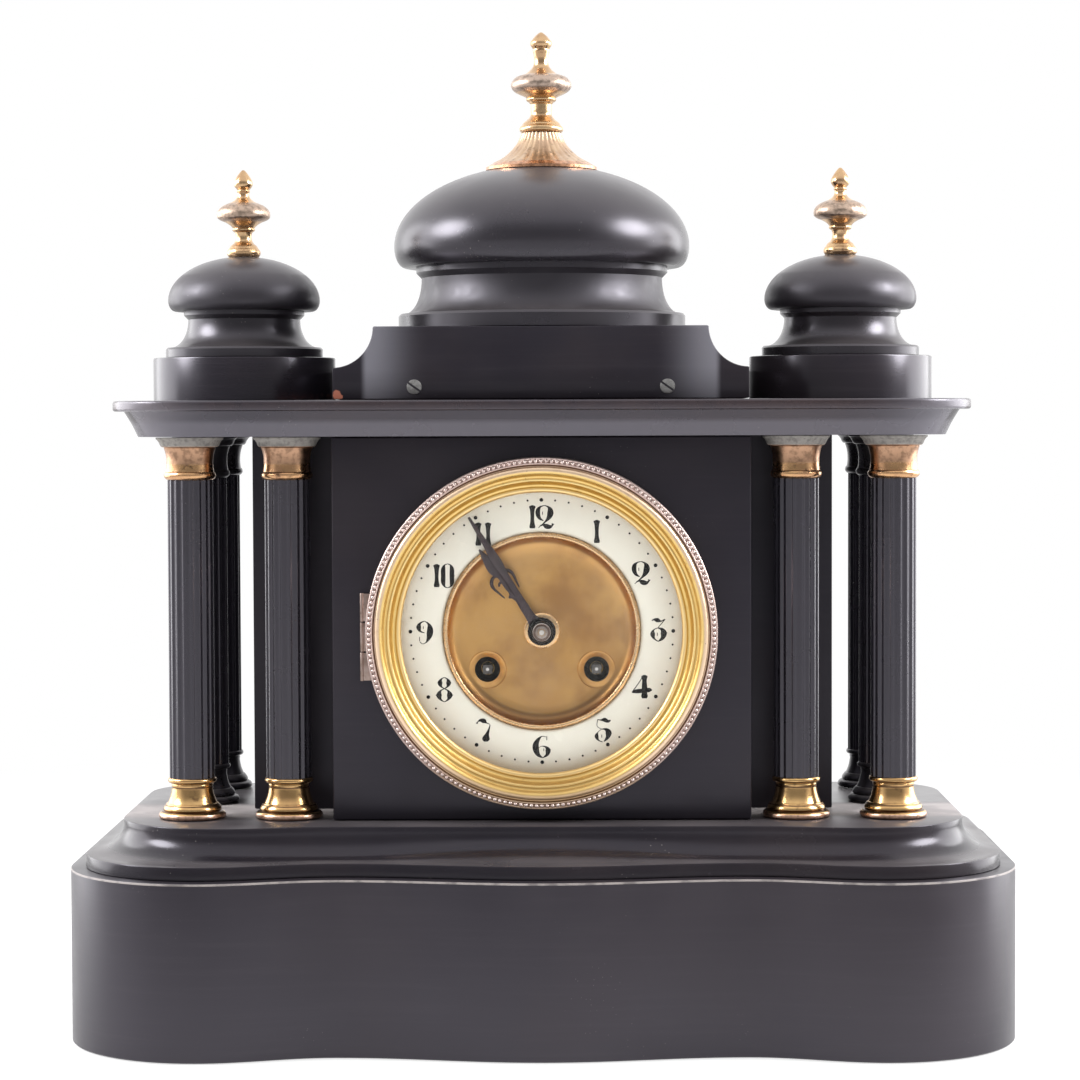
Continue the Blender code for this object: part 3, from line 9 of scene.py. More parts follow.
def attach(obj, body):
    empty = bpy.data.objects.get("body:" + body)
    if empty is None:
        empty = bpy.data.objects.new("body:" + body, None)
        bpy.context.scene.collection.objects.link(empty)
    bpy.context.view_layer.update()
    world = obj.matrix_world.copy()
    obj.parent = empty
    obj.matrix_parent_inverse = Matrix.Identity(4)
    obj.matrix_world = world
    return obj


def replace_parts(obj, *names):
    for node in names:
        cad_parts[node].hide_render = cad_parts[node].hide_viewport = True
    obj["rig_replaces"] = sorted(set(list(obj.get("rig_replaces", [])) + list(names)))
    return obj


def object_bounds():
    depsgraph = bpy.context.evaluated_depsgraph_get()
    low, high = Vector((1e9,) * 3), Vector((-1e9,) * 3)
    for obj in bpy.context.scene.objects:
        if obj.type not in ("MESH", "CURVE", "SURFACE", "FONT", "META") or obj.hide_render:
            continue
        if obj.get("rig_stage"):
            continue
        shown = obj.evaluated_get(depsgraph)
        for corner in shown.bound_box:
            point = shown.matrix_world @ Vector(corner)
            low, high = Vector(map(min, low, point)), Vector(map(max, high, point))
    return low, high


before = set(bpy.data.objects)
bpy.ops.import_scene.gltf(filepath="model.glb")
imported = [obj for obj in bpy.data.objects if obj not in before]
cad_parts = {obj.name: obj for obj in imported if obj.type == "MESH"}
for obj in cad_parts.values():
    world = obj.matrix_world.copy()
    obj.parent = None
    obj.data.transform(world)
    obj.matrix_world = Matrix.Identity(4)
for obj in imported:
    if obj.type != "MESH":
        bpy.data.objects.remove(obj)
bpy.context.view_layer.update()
print("frame loaded:", len(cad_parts), "solids")

# levels and places shared by several pieces, in metres
panelFront = -0.0520
dialZ = 0.1628
caseLow, caseHigh = 0.0883, 0.2403
domeY = 0.00825
drumX = 0.1234
faceOn = (math.pi / 2, 0, 0)  # turns an upright rod to look out of the dial


# ways of modelling used for every piece
def startFresh():
    if bpy.context.mode != "OBJECT":
        bpy.ops.object.mode_set(mode="OBJECT")
    bpy.ops.object.select_all(action="DESELECT")


def pick(piece):
    startFresh()
    piece.select_set(True)
    bpy.context.view_layer.objects.active = piece


def pickCorners(chosen):
    bpy.ops.mesh.select_all(action="DESELECT")
    shape = bmesh.from_edit_mesh(bpy.context.object.data)
    shape.verts.ensure_lookup_table()
    for number in chosen:
        shape.verts[number].select_set(True)
    shape.select_flush(True)
    bmesh.update_edit_mesh(bpy.context.object.data)


def softRun(points, steps):
    # a smooth line through the points, with the same number of steps between each pair
    points = [Vector(point) for point in points]
    if len(points) < 3:
        return points
    line = []
    for i in range(len(points) - 1):
        here, there = points[i], points[i + 1]
        span = (there - here).length
        leave = arrive = there - here
        if i > 0:
            before = (here - points[i - 1]).length
            bend = (here - points[i - 1]) / before - (there - points[i - 1]) / (before + span)
            leave = (bend + (there - here) / span) * span
        if i < len(points) - 2:
            after = (points[i + 2] - there).length
            bend = (there - here) / span - (points[i + 2] - here) / (span + after)
            arrive = (bend + (points[i + 2] - there) / after) * span
        for k in range(steps):
            t = k / steps
            line.append(
                here * (2 * t**3 - 3 * t**2 + 1)
                + leave * (t**3 - 2 * t**2 + t)
                + there * (3 * t**2 - 2 * t**3)
                + arrive * (t**3 - t**2)
            )
    return line + [points[-1]]


def softLine(runs, steps=6):
    # runs meet at sharp corners; inside a run the line is smooth
    line = []
    for run in runs:
        for point in softRun(run, steps):
            if not line or (point - line[-1]).length > 2e-6:
                line.append(point)
    return line


def startCorner(place):
    startFresh()
    bpy.ops.mesh.primitive_plane_add(size=0.001)
    bpy.ops.object.mode_set(mode="EDIT")
    bpy.ops.mesh.select_mode(type="VERT")
    bpy.ops.mesh.merge(type="CENTER")
    bpy.ops.transform.translate(value=place)


def drawOn(points):
    for here, there in zip(points, points[1:]):
        bpy.ops.mesh.extrude_vertices_move(TRANSFORM_OT_translate={"value": Vector(there) - Vector(here)})


def cleanShell():
    bpy.ops.mesh.select_all(action="SELECT")
    bpy.ops.mesh.remove_doubles(threshold=2e-6)
    bpy.ops.mesh.normals_make_consistent(inside=False)


def turnUpright(line, place, steps, closed=False):
    # line holds radius and height above place
    points = [Vector(place) + Vector((point[0], 0.0, point[1])) for point in line]
    spinLine(points, place, (0, 0, 1), steps, closed)


def turnDial(line, steps, closed=False, hub=(0.0, 0.0)):
    # line holds radius and height proud of the panel
    points = [Vector((hub[0] + point[0], panelFront - point[1], dialZ + hub[1])) for point in line]
    spinLine(points, (hub[0], 0.0, dialZ + hub[1]), (0, 1, 0), steps, closed)


def spinLine(points, centre, axis, steps, closed):
    startCorner(points[0])
    drawOn(points)
    if closed:
        pickCorners([0, len(points) - 1])
        bpy.ops.mesh.edge_face_add()
    bpy.ops.mesh.select_all(action="SELECT")
    bpy.ops.mesh.spin(steps=steps, angle=2 * math.pi, center=centre, axis=axis)
    cleanShell()


def stackOutlines(outlines):
    # the first outline is drawn and closed, then its loop is extruded level by level and both ends are filled
    count = len(outlines[0])
    startCorner(outlines[0][0])
    drawOn(outlines[0])
    pickCorners([0, count - 1])
    bpy.ops.mesh.edge_face_add()
    bpy.ops.mesh.select_all(action="SELECT")
    loops = [list(range(count))]
    for below, outline in zip(outlines, outlines[1:]):
        nearest = KDTree(count)
        for number, point in enumerate(below):
            nearest.insert(point, number)
        nearest.balance()
        bpy.ops.mesh.extrude_edges_move(TRANSFORM_OT_translate={"value": (0.0, 0.0, 0.0)})
        shape = bmesh.from_edit_mesh(bpy.context.object.data)
        shape.verts.index_update()
        lifted = [corner for corner in shape.verts if corner.select]
        for corner in lifted:
            corner.co = outline[nearest.find(corner.co)[1]]
        bmesh.update_edit_mesh(bpy.context.object.data)
        loops.append([corner.index for corner in lifted])
    for loop in (loops[0], loops[-1]):
        pickCorners(loop)
        bpy.ops.mesh.edge_face_add()
    cleanShell()


def extrudeOutline(outline, depth):
    startCorner(outline[0])
    drawOn(outline)
    pickCorners([0, len(outline) - 1])
    bpy.ops.mesh.edge_face_add()
    bpy.ops.mesh.select_all(action="SELECT")
    bpy.ops.mesh.edge_face_add()
    bpy.ops.mesh.extrude_region_move(TRANSFORM_OT_translate={"value": depth})
    cleanShell()


def softenEdges(width, segments=2, angle=40):
    bpy.ops.object.mode_set(mode="OBJECT")
    edge = bpy.context.object.modifiers.new("softEdge", "BEVEL")
    edge.width, edge.segments, edge.limit_method = width, segments, "ANGLE"
    edge.angle_limit = math.radians(angle)
    edge.harden_normals = False
    bpy.ops.object.modifier_apply(modifier=edge.name)


def cutWith(piece, cutter):
    pick(piece)
    cut = piece.modifiers.new("cut", "BOOLEAN")
    cut.operation, cut.object, cut.solver = "DIFFERENCE", cutter, "EXACT"
    bpy.ops.object.modifier_apply(modifier=cut.name)
    bpy.data.objects.remove(cutter, do_unlink=True)
    pick(piece)


def fixPlace():
    bpy.ops.object.transform_apply(location=True, rotation=True, scale=True)


def startBlock(size, place, edge=0.0, segments=2, turn=(0, 0, 0)):
    startFresh()
    bpy.ops.mesh.primitive_cube_add(size=1.0, location=place, scale=size, rotation=turn)
    fixPlace()
    if edge:
        softenEdges(edge, segments)
    return bpy.context.object


def startRod(radius, length, place, corners, edge=0.0, turn=(0, 0, 0)):
    startFresh()
    bpy.ops.mesh.primitive_cylinder_add(vertices=corners, radius=radius, depth=length, location=place, rotation=turn)
    fixPlace()
    if edge:
        softenEdges(edge)
    return bpy.context.object


def joinTo(piece, *others):
    pick(piece)
    for other in others:
        other.select_set(True)
    bpy.ops.object.join()


def refinish(node, finish):
    # a solid that stays in view gets a finish of its own
    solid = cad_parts[node].data
    solid.materials.clear()
    solid.materials.append(finish)


def settle(name, finish, body, slot, *nodes, sharp=35):
    piece = bpy.context.object
    pick(piece)
    fixPlace()
    bpy.ops.object.shade_smooth_by_angle(angle=math.radians(sharp))
    piece.name = piece.data.name = name
    piece.data.materials.clear()
    piece.data.materials.append(finish)
    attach(piece, body)
    if nodes:
        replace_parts(piece, *nodes)
    return piece


def copyTo(piece, name, shift, *nodes):
    pick(piece)
    bpy.ops.object.duplicate(linked=False)
    copy = bpy.context.object
    copy.location = shift
    bpy.ops.object.transform_apply(location=True, rotation=False, scale=False)
    copy.name = copy.data.name = name
    if "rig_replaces" in copy:
        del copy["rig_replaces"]
    if nodes:
        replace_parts(copy, *nodes)
    return copy


# nodes that the finishes are built from
def newFinish(name):
    finish = bpy.data.materials.new(name)
    finish.use_nodes = True
    tree = finish.node_tree
    shader = tree.nodes["Principled BSDF"]
    at = tree.nodes.new("ShaderNodeTexCoord").outputs["Object"]
    return finish, tree, shader, at


def put(tree, source, socket):
    if isinstance(source, bpy.types.NodeSocket):
        tree.links.new(source, socket)
    elif isinstance(source, tuple) and len(source) == 3 and socket.type == "RGBA":
        socket.default_value = (*source, 1.0)
    else:
        socket.default_value = source


def stretched(tree, at, scale=(1, 1, 1), shift=(0, 0, 0), turn=(0, 0, 0)):
    node = tree.nodes.new("ShaderNodeMapping")
    put(tree, at, node.inputs["Vector"])
    node.inputs["Scale"].default_value = scale
    node.inputs["Location"].default_value = shift
    node.inputs["Rotation"].default_value = turn
    return node.outputs["Vector"]


def cloud(tree, at, scale, detail=4.0, rough=0.55):
    node = tree.nodes.new("ShaderNodeTexNoise")
    put(tree, at, node.inputs["Vector"])
    node.inputs["Scale"].default_value = scale
    node.inputs["Detail"].default_value = detail
    node.inputs["Roughness"].default_value = rough
    return node.outputs["Fac"]


def specks(tree, at, scale):
    node = tree.nodes.new("ShaderNodeTexVoronoi")
    put(tree, at, node.inputs["Vector"])
    node.inputs["Scale"].default_value = scale
    return node.outputs["Distance"]


def ranged(tree, value, low, high, toLow=0.0, toHigh=1.0, smooth=True):
    node = tree.nodes.new("ShaderNodeMapRange")
    node.interpolation_type = "SMOOTHSTEP" if smooth else "LINEAR"
    put(tree, value, node.inputs["Value"])
    node.inputs["From Min"].default_value = low
    node.inputs["From Max"].default_value = high
    node.inputs["To Min"].default_value = toLow
    node.inputs["To Max"].default_value = toHigh
    return node.outputs["Result"]


def sums(tree, operation, first, second=0.0):
    node = tree.nodes.new("ShaderNodeMath")
    node.operation = operation
    put(tree, first, node.inputs[0])
    put(tree, second, node.inputs[1])
    return node.outputs["Value"]


def times(tree, first, second):
    return sums(tree, "MULTIPLY", first, second)


def plus(tree, first, second):
    return sums(tree, "ADD", first, second)


def distance(tree, across, up):
    return sums(tree, "POWER", plus(tree, times(tree, across, across), times(tree, up, up)), 0.5)


def mixed(tree, factor, under, over):
    node = tree.nodes.new("ShaderNodeMix")
    node.data_type = "RGBA"
    put(tree, factor, node.inputs[0])
    put(tree, under, node.inputs[6])
    put(tree, over, node.inputs[7])
    return node.outputs[2]


def axes(tree, at):
    node = tree.nodes.new("ShaderNodeSeparateXYZ")
    put(tree, at, node.inputs[0])
    return node.outputs["X"], node.outputs["Y"], node.outputs["Z"]


def band(tree, value, low, high, fade):
    # 1 between low and high, fading out over fade at both ends
    rise = ranged(tree, value, low - fade, low)
    fall = ranged(tree, value, high, high + fade, 1.0, 0.0)
    return times(tree, rise, fall)


def dialRadius(tree, at):
    # distance from the dial's hub across the face
    flat = stretched(tree, at, scale=(1, 0, 1), shift=(0, 0, -dialZ))
    node = tree.nodes.new("ShaderNodeVectorMath")
    node.operation = "LENGTH"
    put(tree, flat, node.inputs[0])
    return node.outputs["Value"]


def raised(tree, shader, height, strength, distance):
    node = tree.nodes.new("ShaderNodeBump")
    node.inputs["Strength"].default_value = strength
    node.inputs["Distance"].default_value = distance
    put(tree, height, node.inputs["Height"])
    tree.links.new(node.outputs["Normal"], shader.inputs["Normal"])


def coat(tree, shader, colour, rough):
    put(tree, colour, shader.inputs["Base Color"])
    put(tree, rough, shader.inputs["Roughness"])


def metalCoat(tree, shader, colour, rough):
    coat(tree, shader, colour, rough)
    shader.inputs["Metallic"].default_value = 1.0


def stoneFinish(name, stone):
    finish, tree, shader, at = newFinish(name)
    x, y, z = axes(tree, at)
    patches = ranged(tree, cloud(tree, at, 9.0, 5.0), 0.42, 0.66)
    colour = mixed(tree, patches, stone["colour"], stone["brown"])
    streakAt = stretched(tree, at, scale=(6, 6, 160))
    streaks = ranged(tree, cloud(tree, streakAt, 3.0, 6.0, 0.65), 0.45, 0.75)
    colour = mixed(tree, times(tree, streaks, stone["streaks"]), colour, stone["streak"])
    dullest = stone["rough"] + stone["dull"]
    rough = ranged(tree, cloud(tree, at, 35.0, 5.0), 0.35, 0.70, stone["rough"], dullest, False)
    for low, high, fade, strength in stone.get("rubbed", ()):
        broken = ranged(tree, cloud(tree, at, 130.0, 3.0), 0.32, 0.56, 0.45, 1.0)
        mask = times(tree, times(tree, band(tree, z, low, high, fade), broken), strength)
        colour = mixed(tree, mask, colour, stone["wear"])
        rough = plus(tree, rough, times(tree, mask, 0.30))
    if "ends" in stone:
        # painted sheen: lighter grey towards both ends of the block's front face
        near, far, limit, strength = stone["ends"]
        aside = sums(tree, "ABSOLUTE", x, 0.0)
        paintedSheen = sums(tree, "POWER", ranged(tree, aside, near, far), 1.5)
        paintedSheen = times(tree, paintedSheen, ranged(tree, aside, limit, limit + 0.003, 1.0, 0.0))
        paintedSheen = times(tree, paintedSheen, ranged(tree, y, -0.051, -0.049, strength, 0.0))
        colour = mixed(tree, paintedSheen, colour, (0.30, 0.295, 0.335))
    # painted reflection: a lighter band at the given heights stands in for the bright floor mirrored there
    for low, high, fade, strength in stone.get("dustAndReflectionFilm", ()):
        mask = times(tree, band(tree, z, low, high, fade), strength)
        colour = mixed(tree, mask, colour, (0.085, 0.081, 0.094))
    if "lying" in stone:
        # dust that lies on the faces that look up
        upward = axes(tree, tree.nodes["Texture Coordinate"].outputs["Normal"])[2]
        dustAndReflectionFilm = ranged(tree, upward, stone.get("lyingFrom", 0.25), 0.97)
        dustAndReflectionFilm = times(tree, dustAndReflectionFilm, ranged(tree, cloud(tree, at, 26.0, 5.0), 0.25, 0.75, 0.5, 1.0))
        dustAndReflectionFilm = times(tree, dustAndReflectionFilm, stone["lying"])
        colour = mixed(tree, dustAndReflectionFilm, colour, (0.20, 0.18, 0.185))
        rough = plus(tree, rough, times(tree, dustAndReflectionFilm, 0.35))
        if "shelter" in stone:
            # thicker on the plate between the front columns and the next ones
            front, rear, fade, strength = stone["shelter"]
            thick = band(tree, y, front, rear, fade)
            thick = times(tree, thick, ranged(tree, z, 0.0872, 0.0878, 0.0, strength))
            thick = times(tree, thick, ranged(tree, cloud(tree, at, 60.0, 4.0), 0.35, 0.60, 0.6, 1.0))
            colour = mixed(tree, thick, colour, (0.36, 0.33, 0.325))
            rough = plus(tree, rough, times(tree, thick, 0.4))
    dots = ranged(tree, specks(tree, at, 520.0), 0.04, 0.10, 1.0, 0.0)
    few = times(tree, dots, ranged(tree, cloud(tree, at, 30.0, 3.0), 0.55, 0.66))
    colour = mixed(tree, times(tree, few, stone["dust"]), colour, (0.30, 0.28, 0.26))
    hairAt = stretched(tree, at, scale=(40, 40, 2.5), turn=(0.5, 0.9, 0.2))
    hairs = ranged(tree, specks(tree, hairAt, 8.0), 0.006, 0.014, 1.0, 0.0)
    hairs = times(tree, hairs, stone["dust"] * 0.5)
    colour = mixed(tree, hairs, colour, (0.22, 0.20, 0.19))
    if "chip" in stone:
        # a broken corner, brown inside
        chipX, chipZ, chipSize = stone["chip"]
        across, up = sums(tree, "SUBTRACT", x, chipX), sums(tree, "SUBTRACT", z, chipZ)
        ragged = ranged(tree, cloud(tree, at, 420.0, 3.0), 0.3, 0.7, -chipSize / 3, chipSize / 3, False)
        reach = plus(tree, distance(tree, across, up), ragged)
        broken = ranged(tree, reach, chipSize * 0.8, chipSize, 1.0, 0.0)
        colour = mixed(tree, broken, colour, (0.42, 0.15, 0.095))
    coat(tree, shader, colour, rough)
    shader.inputs["Specular IOR Level"].default_value = stone.get("gloss", 0.5)
    shader.inputs["Specular Tint"].default_value = (0.92, 0.88, 1.0, 1.0)
    raised(tree, shader, cloud(tree, at, 260.0, 5.0), stone["grain"], 0.0002)
    return finish


def brassFinish(name, brass):
    finish, tree, shader, at = newFinish(name)
    z = axes(tree, at)[2]
    tone = ranged(tree, cloud(tree, at, brass["scale"], 4.0), 0.35, 0.68)
    colour = mixed(tree, tone, brass["colour"], brass["second"])
    stains = ranged(tree, cloud(tree, at, brass["scale"] * 2.7, 6.0, 0.65), 0.54, 0.72)
    colour = mixed(tree, times(tree, stains, brass["stained"]), colour, brass["stain"])
    dullest = brass["rough"] + brass["dull"]
    rough = ranged(tree, cloud(tree, at, brass["scale"] * 4.0, 4.0), 0.3, 0.7, brass["rough"], dullest, False)
    for low, high, fade, bandColour, bandRough in brass.get("bands", ()):
        mask = band(tree, z, low, high, fade)
        mottle = ranged(tree, cloud(tree, at, 500.0, 4.0), 0.42, 0.66)
        shaded = tuple(0.6 * part for part in bandColour)
        colour = mixed(tree, mask, colour, mixed(tree, mottle, bandColour, shaded))
        rough = plus(tree, rough, times(tree, mask, bandRough))
        if bandRough > 0.4:  # grimy, so less of the metal shows
            put(tree, sums(tree, "SUBTRACT", 1.0, times(tree, mask, 0.8)), shader.inputs["Metallic"])
    if "hub" in brass:
        # blackened round the dial's centre
        radius, hubColour = brass["hub"]
        mask = ranged(tree, dialRadius(tree, at), radius, radius + 0.0003, 1.0, 0.0)
        colour = mixed(tree, mask, colour, hubColour)
    coat(tree, shader, colour, rough)
    if not shader.inputs["Metallic"].is_linked:
        shader.inputs["Metallic"].default_value = 1.0
    raised(tree, shader, cloud(tree, at, 900.0, 4.0), brass["grain"], 0.0001)
    return finish


plinthBlack = stoneFinish("plinthBlack", {
    "colour": (0.0140, 0.0118, 0.0155), "brown": (0.018, 0.0145, 0.0175), "streak": (0.026, 0.022, 0.026), "gloss": 0.6,
    "streaks": 0.35, "rough": 0.30, "dull": 0.10, "dust": 0.35, "grain": 0.06, "wear": (0.30, 0.27, 0.25),
    "rubbed": [(0.0686, 0.0693, 0.0001, 0.75)],
})
mouldingBlack = stoneFinish("mouldingBlack", {
    "colour": (0.010, 0.0086, 0.0115), "brown": (0.016, 0.0125, 0.0145), "streak": (0.022, 0.019, 0.021), "gloss": 0.36,
    "lying": 0.28, "lyingFrom": 0.88, "shelter": (-0.034, -0.006, 0.012, 0.85),
    "streaks": 0.3, "rough": 0.20, "dull": 0.08, "dust": 1.0, "grain": 0.05,
})
panelBlack = stoneFinish("panelBlack", {
    "colour": (0.0085, 0.0072, 0.0105), "brown": (0.0125, 0.0098, 0.0120), "streak": (0.017, 0.0148, 0.0180),
    "gloss": 0.36, "streaks": 0.3, "rough": 0.30, "dull": 0.10, "dust": 0.25, "grain": 0.05,
})
# the lighter band on the splay and its lighter ends are painted reflection of the bright floor
corniceBlack = stoneFinish("corniceBlack", {
    "colour": (0.011, 0.0092, 0.0122), "brown": (0.020, 0.013, 0.0130), "streak": (0.024, 0.019, 0.0205), "gloss": 0.7,
    "dustAndReflectionFilm": [(0.2400, 0.2452, 0.0026, 0.62)], "ends": (0.115, 0.172, 0.20, 0.30),
    "streaks": 0.35, "rough": 0.20, "dull": 0.12, "dust": 0.7, "grain": 0.06, "wear": (0.075, 0.036, 0.026),
    "rubbed": [(0.2515, 0.2540, 0.0008, 0.12)],
})
# its lighter ends are painted sheen on the front face
atticBlack = stoneFinish("atticBlack", {
    "colour": (0.0085, 0.0070, 0.0105), "brown": (0.014, 0.0105, 0.0125), "streak": (0.020, 0.017, 0.020),
    "streaks": 0.35, "gloss": 0.36, "rough": 0.32, "dull": 0.12, "dust": 0.5, "grain": 0.06,
    "ends": (0.042, 0.070, 0.0685, 0.40), "chip": (-0.0805, 0.2568, 0.0021),
})
drumBlack = stoneFinish("drumBlack", {
    "colour": (0.0110, 0.0094, 0.0135), "brown": (0.018, 0.014, 0.0165), "streak": (0.026, 0.022, 0.026),
    "streaks": 0.4, "rough": 0.20, "dull": 0.08, "dust": 0.5, "grain": 0.06,
})
domeBlack = stoneFinish("domeBlack", {
    "colour": (0.010, 0.0088, 0.0110), "brown": (0.014, 0.0115, 0.0130), "streak": (0.018, 0.016, 0.0180), "gloss": 0.6,
    "streaks": 0.2, "rough": 0.25, "dull": 0.08, "dust": 0.8, "grain": 0.04, "wear": (0.012, 0.0105, 0.0125),
    "lying": 0.20, "rubbed": [(0.2918, 0.3060, 0.0015, 0.55)],
})
shaftBlack = stoneFinish("shaftBlack", {
    "colour": (0.0090, 0.0080, 0.0110), "brown": (0.012, 0.0105, 0.0135), "streak": (0.016, 0.0145, 0.0175),
    "gloss": 0.80, "streaks": 0.25, "rough": 0.24, "dull": 0.06, "dust": 0.3, "grain": 0.04,
})
trimBlack = stoneFinish("trimBlack", {
    "colour": (0.013, 0.012, 0.013), "brown": (0.022, 0.019, 0.018), "streak": (0.030, 0.028, 0.027),
    "streaks": 0.3, "rough": 0.26, "dull": 0.14, "dust": 0.6, "grain": 0.10, "lying": 0.3,
})
baseBrass = brassFinish("baseBrass", {
    "colour": (0.62, 0.40, 0.175), "second": (0.49, 0.30, 0.135), "stain": (0.13, 0.065, 0.035), "stained": 0.65,
    "scale": 90.0, "rough": 0.17, "dull": 0.10, "grain": 0.10,
    "bands": [
        (0.0880, 0.0901, 0.0003, (0.62, 0.40, 0.29), 0.10), (0.0909, 0.0913, 0.0002, (0.14, 0.075, 0.04), 0.10),
        (0.0933, 0.0936, 0.0002, (0.18, 0.10, 0.05), 0.10), (0.1004, 0.1008, 0.0002, (0.16, 0.09, 0.05), 0.10),
    ],
})
capitalBrass = brassFinish("capitalBrass", {
    "colour": (0.64, 0.38, 0.19), "second": (0.52, 0.29, 0.16), "stain": (0.09, 0.05, 0.035), "stained": 0.8,
    "scale": 120.0, "rough": 0.16, "dull": 0.16, "grain": 0.22,
    "bands": [
        (0.2303, 0.2366, 0.0014, (0.46, 0.275, 0.175), 0.12), (0.2370, 0.2410, 0.0008, (0.20, 0.186, 0.172), 0.45),
    ],
})
skirtGilt = brassFinish("skirtGilt", {
    "colour": (0.58, 0.42, 0.28), "second": (0.50, 0.345, 0.235), "stain": (0.15, 0.085, 0.06), "stained": 0.7,
    "scale": 160.0, "rough": 0.30, "dull": 0.14, "grain": 0.25,
    "bands": [(0.3490, 0.3522, 0.0003, (0.60, 0.32, 0.19), -0.10)],
})
wornGilt = {
    "colour": (0.60, 0.405, 0.225), "second": (0.49, 0.315, 0.18), "stain": (0.19, 0.095, 0.06), "stained": 0.7,
    "scale": 140.0, "rough": 0.18, "dull": 0.16, "grain": 0.20,
}
finialGilt = brassFinish("finialGilt", {**wornGilt, "bands": [(0.3821, 0.3885, 0.0006, (0.46, 0.355, 0.29), 0.16)]})
sideFinialGilt = brassFinish("sideFinialGilt", {
    **wornGilt, "bands": [(0.3294, 0.3364, 0.0006, (0.46, 0.345, 0.27), 0.16)],
})
movementBrass = brassFinish("movementBrass", {
    "colour": (0.60, 0.39, 0.14), "second": (0.52, 0.32, 0.12), "stain": (0.24, 0.14, 0.06), "stained": 0.4,
    "scale": 70.0, "rough": 0.28, "dull": 0.16, "grain": 0.15,
})
backBrass = brassFinish("backBrass", {
    "colour": (0.63, 0.41, 0.15), "second": (0.55, 0.33, 0.12), "stain": (0.24, 0.13, 0.06), "stained": 0.5,
    "scale": 45.0, "rough": 0.30, "dull": 0.18, "grain": 0.15,
})
pearlGilt = brassFinish("pearlGilt", {
    "colour": (0.78, 0.66, 0.62), "second": (0.66, 0.52, 0.48), "stain": (0.22, 0.13, 0.10), "stained": 0.6,
    "scale": 160.0, "rough": 0.28, "dull": 0.14, "grain": 0.12,
})
hingeGilt = brassFinish("hingeGilt", {
    "colour": (0.36, 0.28, 0.25), "second": (0.27, 0.20, 0.17), "stain": (0.12, 0.08, 0.06), "stained": 0.6,
    "scale": 200.0, "rough": 0.36, "dull": 0.14, "grain": 0.2,
})
ringGilt = brassFinish("ringGilt", {
    "colour": (0.92, 0.64, 0.36), "second": (0.84, 0.54, 0.28), "stain": (0.46, 0.24, 0.12), "stained": 0.30,
    "scale": 120.0, "rough": 0.22, "dull": 0.10, "grain": 0.03,
})
darkSteel = brassFinish("darkSteel", {
    "colour": (0.105, 0.082, 0.090), "second": (0.075, 0.060, 0.068), "stain": (0.10, 0.065, 0.05), "stained": 0.5,
    "scale": 220.0, "rough": 0.38, "dull": 0.16, "grain": 0.12, "hub": (0.0057, (0.013, 0.011, 0.012)),
})
# near black, for the tubes put behind the winding holes as painted shade
holeShade = brassFinish("holeShade", {
    "colour": (0.022, 0.015, 0.011), "second": (0.014, 0.010, 0.008), "stain": (0.030, 0.016, 0.008), "stained": 0.5,
    "scale": 200.0, "rough": 0.50, "dull": 0.16, "grain": 0.15,
})


def nutFinish():
    # turned face with a black rim and a painted highlight at its centre
    finish, tree, shader, at = newFinish("nutSteel")
    radius = dialRadius(tree, at)
    tone = ranged(tree, cloud(tree, at, 300.0, 4.0), 0.35, 0.68)
    colour = mixed(tree, tone, (0.50, 0.44, 0.40), (0.34, 0.27, 0.23))
    colour = mixed(tree, band(tree, radius, 0.0026, 0.0032, 0.0003), colour, (0.16, 0.11, 0.09))
    # painted highlight: a pale spot at the centre
    colour = mixed(tree, band(tree, radius, -0.001, 0.0008, 0.0003), colour, (0.85, 0.82, 0.78))
    colour = mixed(tree, ranged(tree, radius, 0.0035, 0.0038), colour, (0.012, 0.010, 0.010))
    metalCoat(tree, shader, colour, ranged(tree, tone, 0.0, 1.0, 0.28, 0.42, False))
    return finish


brightSteel = brassFinish("brightSteel", {
    "colour": (0.36, 0.35, 0.335), "second": (0.26, 0.25, 0.24), "stain": (0.20, 0.16, 0.13), "stained": 0.4,
    "scale": 200.0, "rough": 0.26, "dull": 0.14, "grain": 0.12,
})
screwSteel = brassFinish("screwSteel", {
    "colour": (0.34, 0.335, 0.33), "second": (0.22, 0.215, 0.21), "stain": (0.07, 0.06, 0.05), "stained": 0.7,
    "scale": 400.0, "rough": 0.38, "dull": 0.16, "grain": 0.3,
})
bellBronze = brassFinish("bellBronze", {
    "colour": (0.55, 0.47, 0.34), "second": (0.48, 0.38, 0.26), "stain": (0.25, 0.19, 0.12), "stained": 0.4,
    "scale": 60.0, "rough": 0.24, "dull": 0.14, "grain": 0.10,
})


